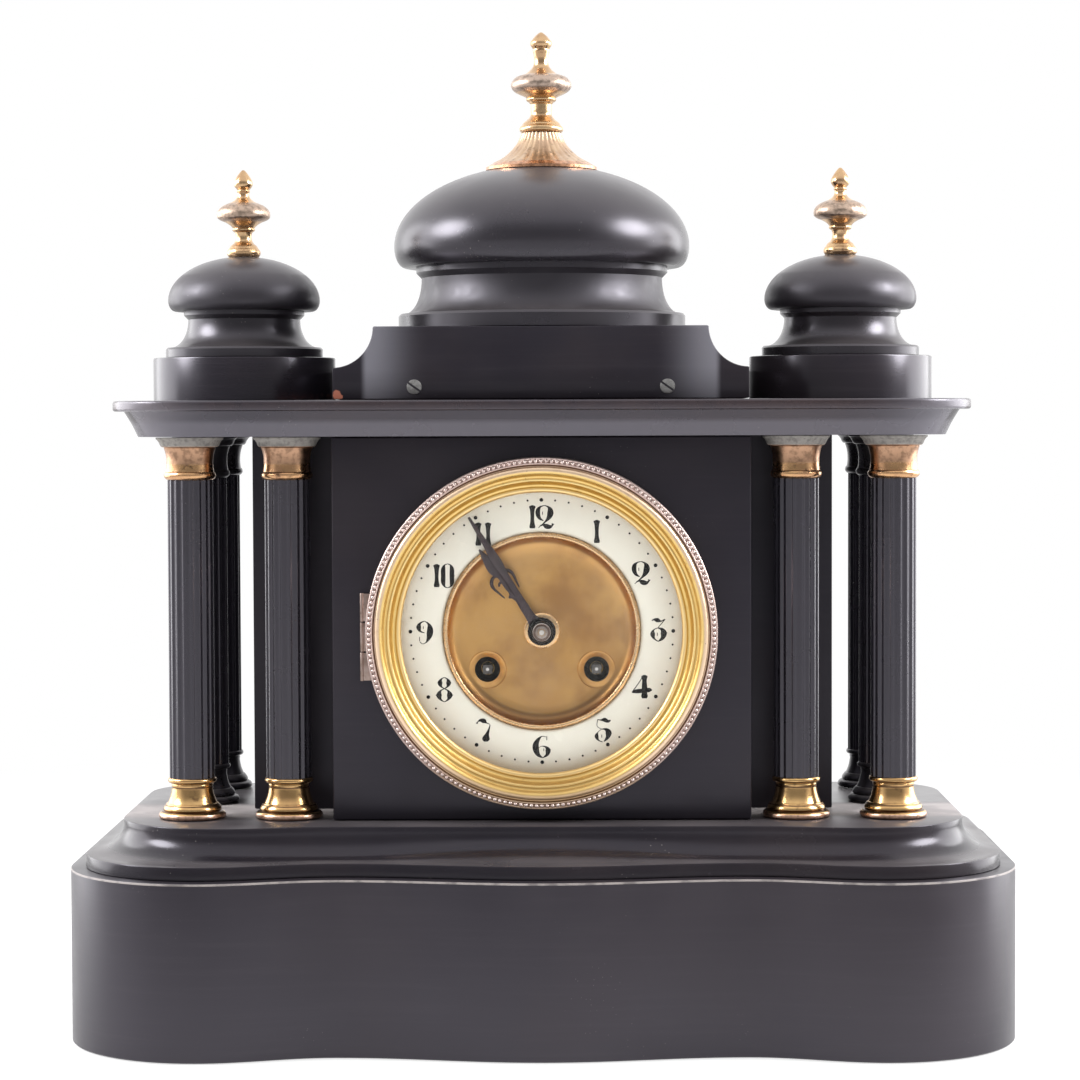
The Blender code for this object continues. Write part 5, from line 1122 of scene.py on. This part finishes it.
# numerals: strokes as x, z and half width in millimetres about the figure's own centre
figures = {
    "1": [
        [(0, 4.7, 0.3), (0, 4.1, 1.0), (0, 3.2, 0.78), (0, 2.2, 0.68), (0, -2.6, 0.7), (0, -3.8, 0.9), (0, -4.5, 0.75)],
    ],
    "0": [
        *bothSides([
            (0, 4.8, 0.14), (-1.1, 4.3, 0.3), (-1.6, 3.2, 0.6), (-1.7, 0, 0.72), (-1.6, -3.2, 0.6), (-1.1, -4.3, 0.3),
            (0, -4.8, 0.14),
        ]),
        [(1.6, 0, 0.6), (3.0, 0, 0.08)],
    ],
    "2": [
        [(0.1, 4.6, 0.16), (-1.5, 4.1, 0.35), (-2.5, 2.8, 0.7), (-2.6, 1.2, 0.75), (-1.8, -0.6, 0.45),
         (-0.4, -1.5, 0.16)],
        [(0.1, 4.6, 0.16), (1.5, 4.0, 0.4), (2.3, 2.7, 0.85), (2.35, 1.4, 1.0), (1.9, 0.1, 0.8),
         (1.0, -1.2, 0.42), (-0.8, -2.9, 0.2), (-2.4, -4.3, 0.14)],
        [(2.2, 1.6, 0.85), (3.7, 1.5, 0.08)],
        [(-0.9, 1.5, 0.5), (-0.6, 1.5, 0.5)],
        [(-1.8, -3.6, 0.2), (-0.6, -3.1, 0.4), (0.8, -3.7, 0.8), (2.2, -3.9, 0.6), (3.2, -3.2, 0.35), (3.4, -2.6, 0.45)],
    ],
    "3": [
        [(-2.6, 3.9, 0.2), (-1.8, 4.3, 0.35), (-0.3, 4.1, 0.72), (1.0, 3.7, 0.35), (2.8, 4.5, 0.2)],
        [(2.8, 4.5, 0.2), (1.2, 2.6, 0.17), (-0.1, 1.1, 0.15)],
        [(-0.2, 1.0, 0.15), (-1.8, 0.2, 0.3), (-2.2, -1.4, 0.78), (-1.6, -3.2, 0.4), (0, -4.4, 0.15)],
        [(-0.2, 1.0, 0.15), (1.4, 0.5, 0.5), (2.2, -1.0, 1.0), (1.7, -3.0, 0.62), (0, -4.4, 0.15)],
        [(2.0, -1.0, 0.85), (3.6, -0.9, 0.08)],
        [(-0.5, -1.5, 0.5), (-0.2, -1.5, 0.5)],
    ],
    "4": [
        [(1.0, 4.8, 0.35), (1.0, 4.2, 0.98), (1.0, 3.2, 0.75), (1.0, 0, 0.85), (1.0, -2.4, 0.8), (1.0, -3.8, 1.0),
         (1.0, -4.6, 0.7)],
        [(-4.0, -2.1, 0.35), (-2.5, -1.8, 0.62), (1.0, -1.5, 0.64), (3.2, -1.2, 0.62), (4.0, -1.3, 0.2)],
        [(0.4, 4.2, 0.2), (-1.4, 1.4, 0.17), (-3.6, -1.6, 0.2)],
    ],
    "5": [
        [(-2.2, 4.4, 0.15), (-2.3, 1.6, 0.13), (-0.6, 0.6, 0.13)],
        [(-2.2, 4.4, 0.15), (-0.8, 4.2, 0.3), (0.6, 4.3, 0.68), (2.0, 3.7, 0.45), (3.0, 4.1, 0.28)],
        [(-0.6, 0.6, 0.14), (1.0, 0.5, 0.42), (2.1, -0.7, 1.0), (1.8, -2.6, 0.62), (0.3, -4.4, 0.15)],
        [(-0.6, 0.6, 0.12), (-2.0, -0.6, 0.16), (-2.6, -2.3, 0.62), (-1.9, -3.8, 0.3), (-0.2, -4.6, 0.14)],
        [(2.0, -0.9, 0.85), (3.5, -1.1, 0.08)],
        [(-0.7, -2.2, 0.5), (-0.4, -2.2, 0.5)],
    ],
    "6": [
        [(1.5, 3.9, 0.14), (0.2, 4.2, 0.14), (-1.6, 2.8, 0.55), (-2.6, 0.4, 1.0), (-2.3, -1.8, 0.92),
         (-1.2, -3.6, 0.5), (0.3, -4.4, 0.15)],
        [(0.3, -4.4, 0.15), (1.9, -3.2, 0.5), (2.3, -1.4, 0.85), (1.4, -0.1, 0.4), (-0.2, 0.2, 0.14), (-1.6, -0.6, 0.12)],
        [(2.0, -1.2, 0.72), (3.5, -1.2, 0.08)],
        [(1.7, 3.4, 0.66), (2.0, 3.4, 0.66)],
        [(0.5, -1.2, 0.42), (0.8, -1.2, 0.42)],
    ],
    "7": [
        [(-2.6, 2.9, 0.42), (-2.4, 3.4, 0.2), (-1.2, 4.2, 0.45), (0.2, 3.9, 0.78), (1.2, 3.2, 0.3), (2.6, 2.6, 0.13)],
        [(2.7, 2.4, 0.16), (2.2, 0.6, 0.36), (1.5, -1.4, 0.62), (1.0, -3.4, 1.2), (1.0, -4.3, 0.6)],
    ],
    "8": [
        *bothSides([(0, 4.9, 0.14), (-1.1, 4.3, 0.3), (-1.7, 2.7, 0.78), (-1.1, 1.1, 0.35), (0, 0.4, 0.15)]),
        *bothSides([(0, 0.4, 0.15), (-1.4, -0.4, 0.35), (-2.1, -2.2, 0.9), (-1.4, -4.0, 0.4), (0, -4.9, 0.14)]),
        *bothSides([(-1.6, 2.7, 0.62), (-2.8, 2.7, 0.08)]),
        *bothSides([(-2.0, -2.2, 0.78), (-3.5, -2.2, 0.08)]),
    ],
    "9": [
        [(0, 4.5, 0.14), (-1.6, 3.7, 0.4), (-2.3, 2.0, 0.78), (-1.6, 0.4, 0.4), (0, -0.2, 0.14)],
        [(0, 4.5, 0.14), (1.4, 3.6, 0.38), (2.2, 1.6, 0.9), (2.1, -0.6, 1.0), (1.5, -2.6, 0.58), (0.4, -4.2, 0.2),
         (-0.8, -4.6, 0.14), (-1.8, -3.8, 0.2)],
        [(2.1, 0.5, 0.82), (3.5, 0.3, 0.08)],
        [(-2.1, -2.7, 0.7), (-1.8, -2.7, 0.7)],
        [(-0.6, 1.9, 0.42), (-0.3, 1.9, 0.42)],
    ],
}
hours = {  # the centre of each figure about the hub
    "12": (0.0, 45.5), "1": (22.0, 39.6), "2": (39.4, 23.1), "3": (46.3, 0.2), "4": (39.8, -22.3), "5": (24.3, -39.7),
    "6": (0.0, -46.1), "7": (-23.4, -39.7), "8": (-38.9, -23.2), "9": (-46.7, -0.3), "10": (-39.4, 22.2),
    "11": (-23.8, 38.7),
}
ink = {
    "level": -0.0062, "flatten": 0.06, "dots": 0.0523, "dot": 0.00042, "fiveDot": 0.00078, "dotFlatten": 0.15,
    "heavy": 1.3, "heavyFrom": 0.4, "spread": {"12": (-3.6, 1.2), "10": (-2.35, 2.0), "11": (-1.3, 2.6)},
}
inkCentre = (0.0, panelFront - ink["level"], 0.0)
hubCentre = (0.0, 0.0, dialZ)


def inkStrokes(strokes, name):
    # strokes in metres on the dial's face: x, z and half width
    startFresh()
    pen = bpy.data.curves.new(name, "CURVE")
    pen.dimensions, pen.use_fill_caps = "3D", True
    pen.bevel_depth, pen.bevel_resolution = 1.0, 3
    for stroke in strokes:
        line = softRun(stroke, 5) if len(stroke) > 2 else [Vector(point) for point in stroke]
        spline = pen.splines.new("POLY")
        spline.points.add(len(line) - 1)
        for point, (px, pz, half) in zip(spline.points, line):
            point.co = (px, panelFront - ink["level"], dialZ + pz, 1.0)
            point.radius = half
    drawn = bpy.data.objects.new(name, pen)
    bpy.context.scene.collection.objects.link(drawn)
    pick(drawn)
    bpy.ops.object.convert(target="MESH")
    bpy.ops.object.mode_set(mode="EDIT")
    bpy.ops.mesh.select_all(action="SELECT")
    bpy.ops.mesh.remove_doubles(threshold=1e-7)
    bpy.ops.transform.resize(value=(1.0, ink["flatten"], 1.0), center_override=inkCentre)
    bpy.ops.mesh.normals_make_consistent(inside=False)


def inked(stroke, number, centreX, centreZ):
    # each stroke a hair wider than the last, so that no two ends meet corner on corner
    line = []
    for px, pz, half in stroke:
        width = half * (ink["heavy"] if half > ink["heavyFrom"] else 1.0) + 0.004 * number
        line.append(((centreX + px) / 1000, (centreZ + pz) / 1000, width / 1000))
    return line


numeralStrokes = []
for hour, (hourX, hourZ) in hours.items():
    for figure, aside in zip(hour, ink["spread"].get(hour, (0.0,))):
        for number, stroke in enumerate(figures[figure]):
            numeralStrokes.append(inked(stroke, number, hourX + aside, hourZ))
inkStrokes(numeralStrokes, "hourFigures")
settle("hourFigures", dialInk, "case", "dark_steel", sharp=60)

for size, first, copies in ((ink["dot"], 6, 3), (ink["fiveDot"], 0, 0)):
    # one dot, spun to the dots between two hours and then round the dial
    turn = math.radians(first)
    startFresh()
    place = (ink["dots"] * math.sin(turn), inkCentre[1], dialZ + ink["dots"] * math.cos(turn))
    bpy.ops.mesh.primitive_uv_sphere_add(segments=8, ring_count=5, radius=size, location=place)
    fixPlace()
    bpy.ops.object.mode_set(mode="EDIT")
    bpy.ops.mesh.select_all(action="SELECT")
    bpy.ops.transform.resize(value=(1.0, ink["dotFlatten"], 1.0), center_override=inkCentre)
    if copies:
        between = math.radians(6 * copies)
        bpy.ops.mesh.spin(steps=copies, dupli=True, angle=between, center=hubCentre, axis=(0, -1, 0))
        bpy.ops.mesh.select_all(action="SELECT")
    bpy.ops.mesh.spin(steps=11, dupli=True, angle=math.radians(330), center=hubCentre, axis=(0, 1, 0))
    if copies:
        smallDots = bpy.context.object
joinTo(bpy.context.object, smallDots)
settle("minuteDots", dialInk, "case", "dark_steel", sharp=60)
print("dial done")

# hands and nut
hands = {
    "minuteTurn": 32.3, "minuteBack": -0.0026, "minuteFront": -0.0018,
    "hourTurn": 37.2, "hourBack": -0.0050, "hourFront": -0.0042,
    # half width and distance from the hub, in millimetres
    "minute": [
        (0.45, 54.0), (0.9, 47.0), (1.25, 41.0), (1.75, 36.0), (1.85, 32.5), (1.35, 28.0), (1.15, 22.0), (1.35, 12.0),
        (1.7, 6.0), (2.2, 4.6),
    ],
    "hour": [
        (0.35, 41.0), (0.9, 38.6), (1.9, 35.0), (2.4, 32.0), (2.0, 29.4), (1.0, 27.6), (1.1, 25.0), (1.2, 22.0),
        (1.2, 19.6), (2.4, 18.6), (1.3, 17.4), (1.4, 12.0), (2.0, 7.0), (2.5, 5.2),
    ],
    "curl": [
        (0.8, 28.3, 0.5), (2.2, 28.7, 0.65), (3.6, 28.0, 0.75), (4.6, 26.6, 0.72), (4.75, 24.8, 0.55),
        (4.3, 22.6, 0.42), (3.9, 20.6, 0.34), (3.6, 19.4, 0.2),
    ],
    "spur": [(1.0, 25.4, 0.6), (2.0, 25.2, 0.5), (2.6, 24.4, 0.35)],
    "scrollDepth": 8.0, "scrollLevel": 0.0046,
    "minuteHub": 5.0, "hourHub": 5.6, "edge": 0.00012,
}


def turnedBy(px, pz, turn):
    return px * math.cos(turn) - pz * math.sin(turn), px * math.sin(turn) + pz * math.cos(turn)


def handOutline(half, hub, level, turn):
    right = [(point[0], point[1]) for point in softRun(half, 3)]
    start = math.atan2(right[-1][0], right[-1][1])
    for i in range(1, 13):
        angle = start + (math.pi - start) * i / 12
        right.append((hub * math.sin(angle), hub * math.cos(angle)))
    placed = []
    for px, pz in right + [(-px, pz) for px, pz in reversed(right[:-1])]:
        px, pz = turnedBy(px / 1000, pz / 1000, math.radians(turn))
        placed.append((px, panelFront - level, dialZ + pz))
    return placed


for hand in ("minute", "hour"):
    level = hands[hand + "Back"]
    extrudeOutline(
        handOutline(hands[hand], hands[hand + "Hub"], level, hands[hand + "Turn"]),
        (0.0, level - hands[hand + "Front"], 0.0),
    )
    softenEdges(hands["edge"])
    settle(hand + "Pointer", darkSteel, hand, "dark_steel", hand + "_hand")

scrolls = []
turn = math.radians(hands["hourTurn"])
for sign in (-1, 1):
    for stroke in (hands["curl"], hands["spur"]):
        scrolls.append([
            (*turnedBy(sign * px / 1000, pz / 1000, turn), half / 1000) for px, pz, half in stroke
        ])
inkStrokes(scrolls, "hourScrolls")
bpy.ops.mesh.select_all(action="SELECT")
bpy.ops.transform.resize(value=(1.0, hands["scrollDepth"], 1.0), center_override=inkCentre)
bpy.ops.transform.translate(value=(0.0, ink["level"] + hands["scrollLevel"], 0.0))
settle("hourScrolls", darkSteel, "hour", "dark_steel", sharp=60)

nutLine = softLine([
    [(0.0, 0.0013), (1.2, 0.0012)],
    [(1.2, 0.0012), (1.3, 0.0008)],
    [(1.3, 0.0008), (2.4, 0.0007), (3.6, 0.0002), (4.3, -0.0006), (4.4, -0.0015)],
    [(4.4, -0.0015), (0.0, -0.0015)],
], 5)
turnDial([(point[0] / 1000, point[1]) for point in nutLine], 48)
settle("handNut", nutFinish(), "minute", "bright_steel", "hand_nut")
print("hands done")

# bezel with its pearls, hinge and glass
bezel = {
    "pearls": 204, "pearlRadius": 0.00088, "pearlCircle": 0.0679, "pearlLevel": 0.0082,
    "hingeX": -0.0710, "hingeLevel": 0.00205, "hingeDrop": 0.0015,
}
hinge = {"knuckle": 0.0116, "radius": 0.0008, "gap": 0.0003, "leaf": 0.0010, "leafInset": 0.0004, "edge": 0.0002}
glass = {"radius": 0.0552, "rise": 0.0055, "front": 0.0028, "back": 0.0010, "rim": 0.0583}
# radius and height proud of the panel, in millimetres
bezelRuns = [
    [(69.5, 2.2), (69.5, 7.2)],
    [(69.5, 7.2), (69.35, 8.0), (68.95, 8.35), (68.5, 8.2)],
    [(68.5, 8.2), (68.3, 7.7), (67.6, 7.7), (67.4, 8.3)],
    [(67.4, 8.3), (67.15, 8.9), (66.8, 9.0), (66.45, 8.6)],
    [(66.45, 8.6), (66.3, 8.0), (65.8, 8.0)],
    [(65.8, 8.0), (65.6, 8.9), (64.8, 9.5), (63.9, 9.6), (63.0, 9.1), (62.4, 8.3)],
    [(62.4, 8.3), (62.0, 7.7), (61.2, 7.4)],
    [(61.2, 7.4), (60.9, 7.7), (60.5, 7.8), (60.1, 7.6), (59.8, 7.1)],
    [(59.8, 7.1), (59.3, 6.0), (58.6, 5.0), (57.8, 4.6)],
    [(57.8, 4.6), (57.4, 5.05), (56.8, 5.25), (56.1, 5.0), (55.6, 4.4), (55.5, 4.0)],
    [(55.5, 4.0), (55.5, 3.1)],
    [(55.5, 3.1), (58.6, 3.1)],
    [(58.6, 3.1), (58.6, 2.2)],
]
turnDial(softLine(inMetres(bezelRuns), 5), 180, closed=True)
settle("bezelRings", bezelGold, "bezel", "bezel_brass", "bezel_ring")

startFresh()
place = (bezel["pearlCircle"], panelFront - bezel["pearlLevel"], dialZ)
bpy.ops.mesh.primitive_uv_sphere_add(
    segments=8, ring_count=6, radius=bezel["pearlRadius"], location=place, rotation=faceOn,
)
fixPlace()
bpy.ops.object.mode_set(mode="EDIT")
bpy.ops.mesh.select_all(action="SELECT")
copies = bezel["pearls"] - 1
around = 2 * math.pi / bezel["pearls"] * copies
bpy.ops.mesh.spin(steps=copies, dupli=True, angle=around, center=hubCentre, axis=(0, 1, 0))
bpy.ops.mesh.select_all(action="SELECT")
bpy.ops.mesh.normals_make_consistent(inside=False)
settle("bezelPearls", pearlGilt, "bezel", "bezel_brass", sharp=80)


def hingeKnuckle(x, y, low, high, reach):
    # a short barrel with the leaf that ties it to its ring
    middle = (low + high) / 2
    barrel = startRod(hinge["radius"], high - low, (x, y, middle), 24, hinge["edge"])
    leafSize = (abs(reach), hinge["leaf"], high - low - hinge["leafInset"])
    joinTo(barrel, startBlock(leafSize, (x + reach / 2, y, middle), hinge["edge"]))


def hingeSet(place, finish, fixed, moving):
    # the fixed knuckle stands between the two that move
    x, y, z = place
    half, gap = hinge["knuckle"] / 2, hinge["gap"]
    name, body, slot, reach = fixed
    hingeKnuckle(x, y, z - half, z + half, reach)
    settle(name, finish, body, slot)
    upper, lower, body, slot, reach, out = moving
    for name, low, high in ((upper, z + half + gap, z + 3 * half), (lower, z - 3 * half, z - half - gap)):
        hingeKnuckle(x, y + out, low, high, reach)
        settle(name, finish, body, slot)


hingeSet(
    (bezel["hingeX"], panelFront - bezel["hingeLevel"], dialZ - bezel["hingeDrop"]), hingeGilt,
    ("panKnuckle", "case", "aged_brass", 0.0040),
    ("upperKnuckle", "lowerKnuckle", "bezel", "bezel_brass", 0.0046, -0.0004),
)

glassFront, glassBack = (
    [(glass["radius"] * i / 12, level + glass["rise"] * (1 - (i / 12) ** 2)) for i in range(13)]
    for level in (glass["front"], glass["back"])
)
glassRim = [(glass["rim"], glass["front"]), (glass["rim"], glass["back"])]
turnDial(glassFront + glassRim + glassBack[::-1], 128)
settle("bezelGlass", clearGlass, "bezel", "clear_glass", "bezel_glass")
print("bezel done")

# back ring and door
back = {
    "face": -0.1220, "neck": 0.0557, "neckInner": 0.0541, "neckDepth": 0.0120, "flange": 0.0610,
    "seat": 0.0003, "flangeBack": 0.0019, "doorGap": 0.0022, "hingeX": 0.0625, "hingeY": 0.07205,
}
strap = {"x": 0.0537, "y": 0.0144, "size": (0.0024, 0.0989, 0.0080), "edge": 0.0004}
door = [  # radius and height of the dish, in millimetres
    [(0.0, 5.2), (20.0, 5.1), (36.0, 4.7), (46.8, 4.2), (54.0, 2.6), (58.5, 1.2)],
    [(58.5, 1.2), (60.4, 1.2)],
    [(60.4, 1.2), (61.0, 0.6), (60.9, 0.0)],
    [(60.9, 0.0), (58.5, 0.0)],
    [(58.5, 0.0), (54.0, 1.4), (46.8, 3.0), (36.0, 3.5), (20.0, 3.9), (0.0, 4.0)],
]
neckEnd, seat, flangeBack = (back["face"] + step for step in (back["neckDepth"], -back["seat"], -back["flangeBack"]))
turnDial([
    (back["neck"], neckEnd), (back["neck"], seat), (back["flange"], seat), (back["flange"], flangeBack),
    (back["neckInner"], flangeBack), (back["neckInner"], neckEnd),
], 96, closed=True)
settle("backRing", backBrass, "case", "gilt_brass", "back_ring")
for side, sign in (("left", -1), ("right", 1)):
    startBlock(strap["size"], (sign * strap["x"], strap["y"], dialZ), strap["edge"])
    settle(side + "Strap", movementBrass, "case", "gilt_brass")
doorFront = back["face"] - back["doorGap"]
doorLine = softLine([[(radius, doorFront - height / 1000) for radius, height in run] for run in door], 5)
turnDial([(point[0] / 1000, point[1]) for point in doorLine], 96)
settle("doorDish", backBrass, "back_door", "gilt_brass", "back_door")
hingeSet(
    (back["hingeX"], back["hingeY"], dialZ), backBrass,
    ("ringKnuckle", "case", "gilt_brass", -0.0040),
    ("upperDoorKnuckle", "lowerDoorKnuckle", "back_door", "gilt_brass", -0.0040, 0.0004),
)

# bell on its post, and the pendulum
bell = {"x": 0.0120, "drop": 0.0120, "mouth": -0.0731, "crown": 0.0176, "nut": (0.00235, 0.0044)}
# radius and depth from the mouth, in millimetres
bellOutside = [
    (31.0, 0.0), (31.0, 0.8), (30.5, 1.3), (30.3, 3.2), (29.2, 6.6), (26.8, 9.8), (22.8, 12.6), (17.0, 15.0),
    (10.0, 16.7), (2.4, 17.5),
]
bellInside = [
    (2.4, 15.8), (9.6, 15.0), (16.2, 13.4), (21.6, 11.2), (25.3, 8.7), (27.5, 5.9), (28.6, 2.9), (29.3, 0.0),
]
bellWall = softRun(bellOutside, 3) + softRun(bellInside, 3)
bellLine = [(point[0] / 1000, bell["mouth"] - point[1] / 1000) for point in bellWall]
bellHub = (bell["x"], -bell["drop"])
turnDial(bellLine, 72, closed=True, hub=bellHub)
settle("bellBowl", bellBronze, "case", "bell_metal", "bell")
nutInner, nutOuter = bell["nut"]
crown = bell["mouth"] - bell["crown"]
turnDial([
    (nutOuter, crown), (nutOuter, crown - 0.0010), (nutOuter - 0.0006, crown - 0.0016),
    (nutInner, crown - 0.0016), (nutInner, crown),
], 40, closed=True, hub=bellHub)
settle("bellNut", movementBrass, "case", "gilt_brass")

swing = {
    "y": 0.0116, "bob": 0.1166, "rod": (0.0013, 0.0957, 0.2016), "nut": (0.0030, 0.0970, 0.0992),  # radius, low, high
    "spring": (0.0039, 0.00087, 0.1964, 0.2055),  # width, thickness, low, high
}


def uprightRod(radius, low, high, corners, edge):
    return startRod(radius, high - low, (0.0, swing["y"], (low + high) / 2), corners, edge)


bobFace = softLine([
    [(0.0, 4.0), (5.0, 3.75), (10.0, 2.9), (14.0, 1.8), (16.2, 1.1)],
    [(16.2, 1.1), (16.8, 0.8), (17.0, 0.0), (16.8, -0.8), (16.2, -1.1)],
    [(16.2, -1.1), (14.0, -1.8), (10.0, -2.9), (5.0, -3.75), (0.0, -4.0)],
], 4)
bobLine = [(point[0] / 1000, panelFront - swing["y"] + point[1] / 1000) for point in bobFace]
turnDial(bobLine, 64, hub=(0.0, swing["bob"] - dialZ))
bob = bpy.context.object
rod = uprightRod(*swing["rod"], 24, 0.0003)
ratingNut = uprightRod(*swing["nut"], 20, 0.0004)
width, thickness, springLow, springHigh = swing["spring"]
springSize = (width, thickness, springHigh - springLow)
spring = startBlock(springSize, (0.0, swing["y"], (springLow + springHigh) / 2), 0.0002)
joinTo(bob, rod, ratingNut, spring)
settle("pendulumBob", backBrass, "pendulum", "bell_metal", "pendulum")


def arborFinish():
    # dark square ends with a painted highlight at the centre
    finish, tree, shader, at = newFinish("arborSteel")
    x, z = axes(tree, at)[::2]
    aside = sums(tree, "SUBTRACT", sums(tree, "ABSOLUTE", x, 0.0), dial["windingX"])
    drop = sums(tree, "SUBTRACT", z, dialZ - dial["windingDrop"])
    reach = distance(tree, aside, drop)
    tone = ranged(tree, cloud(tree, at, 300.0, 4.0), 0.35, 0.68)
    colour = mixed(tree, tone, (0.17, 0.16, 0.15), (0.11, 0.10, 0.095))
    # painted highlight: a near-white spot at the centre of each square
    colour = mixed(tree, ranged(tree, reach, 0.0004, 0.0009, 1.0, 0.0), colour, (0.92, 0.90, 0.87))
    metalCoat(tree, shader, colour, ranged(tree, tone, 0.0, 1.0, 0.28, 0.42, False))
    return finish


# the movement keeps its solids, with finishes of their own
movementFinishes = {
    movementBrass: ("front_plate", "back_plate", "going_barrel", "strike_barrel", "centre_wheel", "escape_wheel"),
    arborFinish(): ("going_arbor", "strike_arbor"),
    brightSteel: ("anchor", "hammer"),
}
for finish, names in movementFinishes.items():
    for name in names:
        refinish(name, finish)
print("back and movement done")

# floor, light and camera
studio = {
    "front": 0.36, "sides": 1.1, "back": 1.6, "top": 1.35,
    "lamps": {  # turn, rise, distance, size, watts
        "leftSoftbox": (-80.0, 30.0, 1.3, 0.60, 18.0), "rightSoftbox": (80.0, 30.0, 1.3, 0.60, 20.0),
        "leftPanel": (-112.0, 10.0, 1.15, 1.0, 8.0), "rightPanel": (112.0, 10.0, 1.15, 1.0, 10.0),
    },
    "aim": 0.18,
    "floor": (30.0, -0.0005),  # size, level
    "camera": (0.0115, -1.237, 0.248), "cameraTurn": (87.652, 0.2, 0.573), "lens": 100.0, "sensor": 36.0,
}


def floorFinish():
    # paper that keeps the shadow near the clock and turns to plain white further out
    finish, tree, shader, at = newFinish("studioFloor")
    shader.inputs["Base Color"].default_value = (0.95, 0.95, 0.95, 1.0)
    shader.inputs["Roughness"].default_value = 1.0
    shader.inputs["Specular IOR Level"].default_value = 0.0
    reach = tree.nodes.new("ShaderNodeVectorMath")
    reach.operation = "LENGTH"
    put(tree, at, reach.inputs[0])
    white = ranged(tree, reach.outputs["Value"], 0.35, 0.95, 0.70, 1.0)
    glow = tree.nodes.new("ShaderNodeEmission")
    blend = tree.nodes.new("ShaderNodeMixShader")
    put(tree, times(tree, rayIsSeen(tree, True), white), blend.inputs[0])
    tree.links.new(shader.outputs[0], blend.inputs[1])
    tree.links.new(glow.outputs[0], blend.inputs[2])
    tree.links.new(blend.outputs[0], tree.nodes["Material Output"].inputs["Surface"])
    return finish


def rayIsSeen(tree, glossy):
    path = tree.nodes.new("ShaderNodeLightPath")
    seen = sums(tree, "MAXIMUM", path.outputs["Is Camera Ray"], path.outputs["Is Transmission Ray"])
    return sums(tree, "MAXIMUM", seen, path.outputs["Is Glossy Ray"]) if glossy else seen


startFresh()
floorSize, floorLevel = studio["floor"]
bpy.ops.mesh.primitive_plane_add(size=floorSize, location=(0.0, 0.0, floorLevel))
floor = bpy.context.object
floor.name = "studioFloor"
floor.data.materials.append(floorFinish())
floor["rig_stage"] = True

world = bpy.data.worlds.new("studioWorld")
bpy.context.scene.world = world
world.use_nodes = True
tree = world.node_tree
backdrop = tree.nodes["Background"]
way = tree.nodes.new("ShaderNodeTexCoord").outputs["Generated"]
wayY, wayZ = axes(tree, way)[1:]
around = ranged(tree, wayY, 0.0, 0.6, 0.0, studio["back"] - studio["sides"])
front = plus(tree, ranged(tree, wayY, -0.75, -0.25, studio["front"], studio["sides"]), around)
level = tree.nodes.new("ShaderNodeMix")
put(tree, ranged(tree, wayZ, 0.40, 0.80), level.inputs[0])
put(tree, front, level.inputs[2])
put(tree, studio["top"], level.inputs[3])
light = tree.nodes.new("ShaderNodeMix")
put(tree, rayIsSeen(tree, False), light.inputs[0])
put(tree, level.outputs[0], light.inputs[2])
put(tree, 1.0, light.inputs[3])
put(tree, light.outputs[0], backdrop.inputs["Strength"])
backdrop.inputs["Color"].default_value = (1.0, 1.0, 1.0, 1.0)

for name, (turn, rise, distance, size, watts) in studio["lamps"].items():
    startFresh()
    bpy.ops.object.light_add(type="AREA")
    lamp = bpy.context.object
    lamp.name = name
    lamp.data.shape, lamp.data.size, lamp.data.energy = "DISK", size, watts
    a, e = math.radians(turn), math.radians(rise)
    out = Vector((math.sin(a) * math.cos(e), -math.cos(a) * math.cos(e), math.sin(e)))
    lamp.location = Vector((0.0, 0.0, studio["aim"])) + out * distance
    lamp.rotation_mode = "QUATERNION"
    lamp.rotation_quaternion = out.to_track_quat("Z", "Y")

startFresh()
bpy.ops.object.camera_add(location=studio["camera"], rotation=[math.radians(turn) for turn in studio["cameraTurn"]])
camera = bpy.context.object
camera.name = "photoCamera"
camera.data.lens, camera.data.sensor_width = studio["lens"], studio["sensor"]
camera.data.clip_start, camera.data.clip_end = 0.05, 50.0
bpy.context.scene.camera = camera
bpy.context.scene.view_settings.view_transform = "Standard"
print("studio done")

low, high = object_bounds()
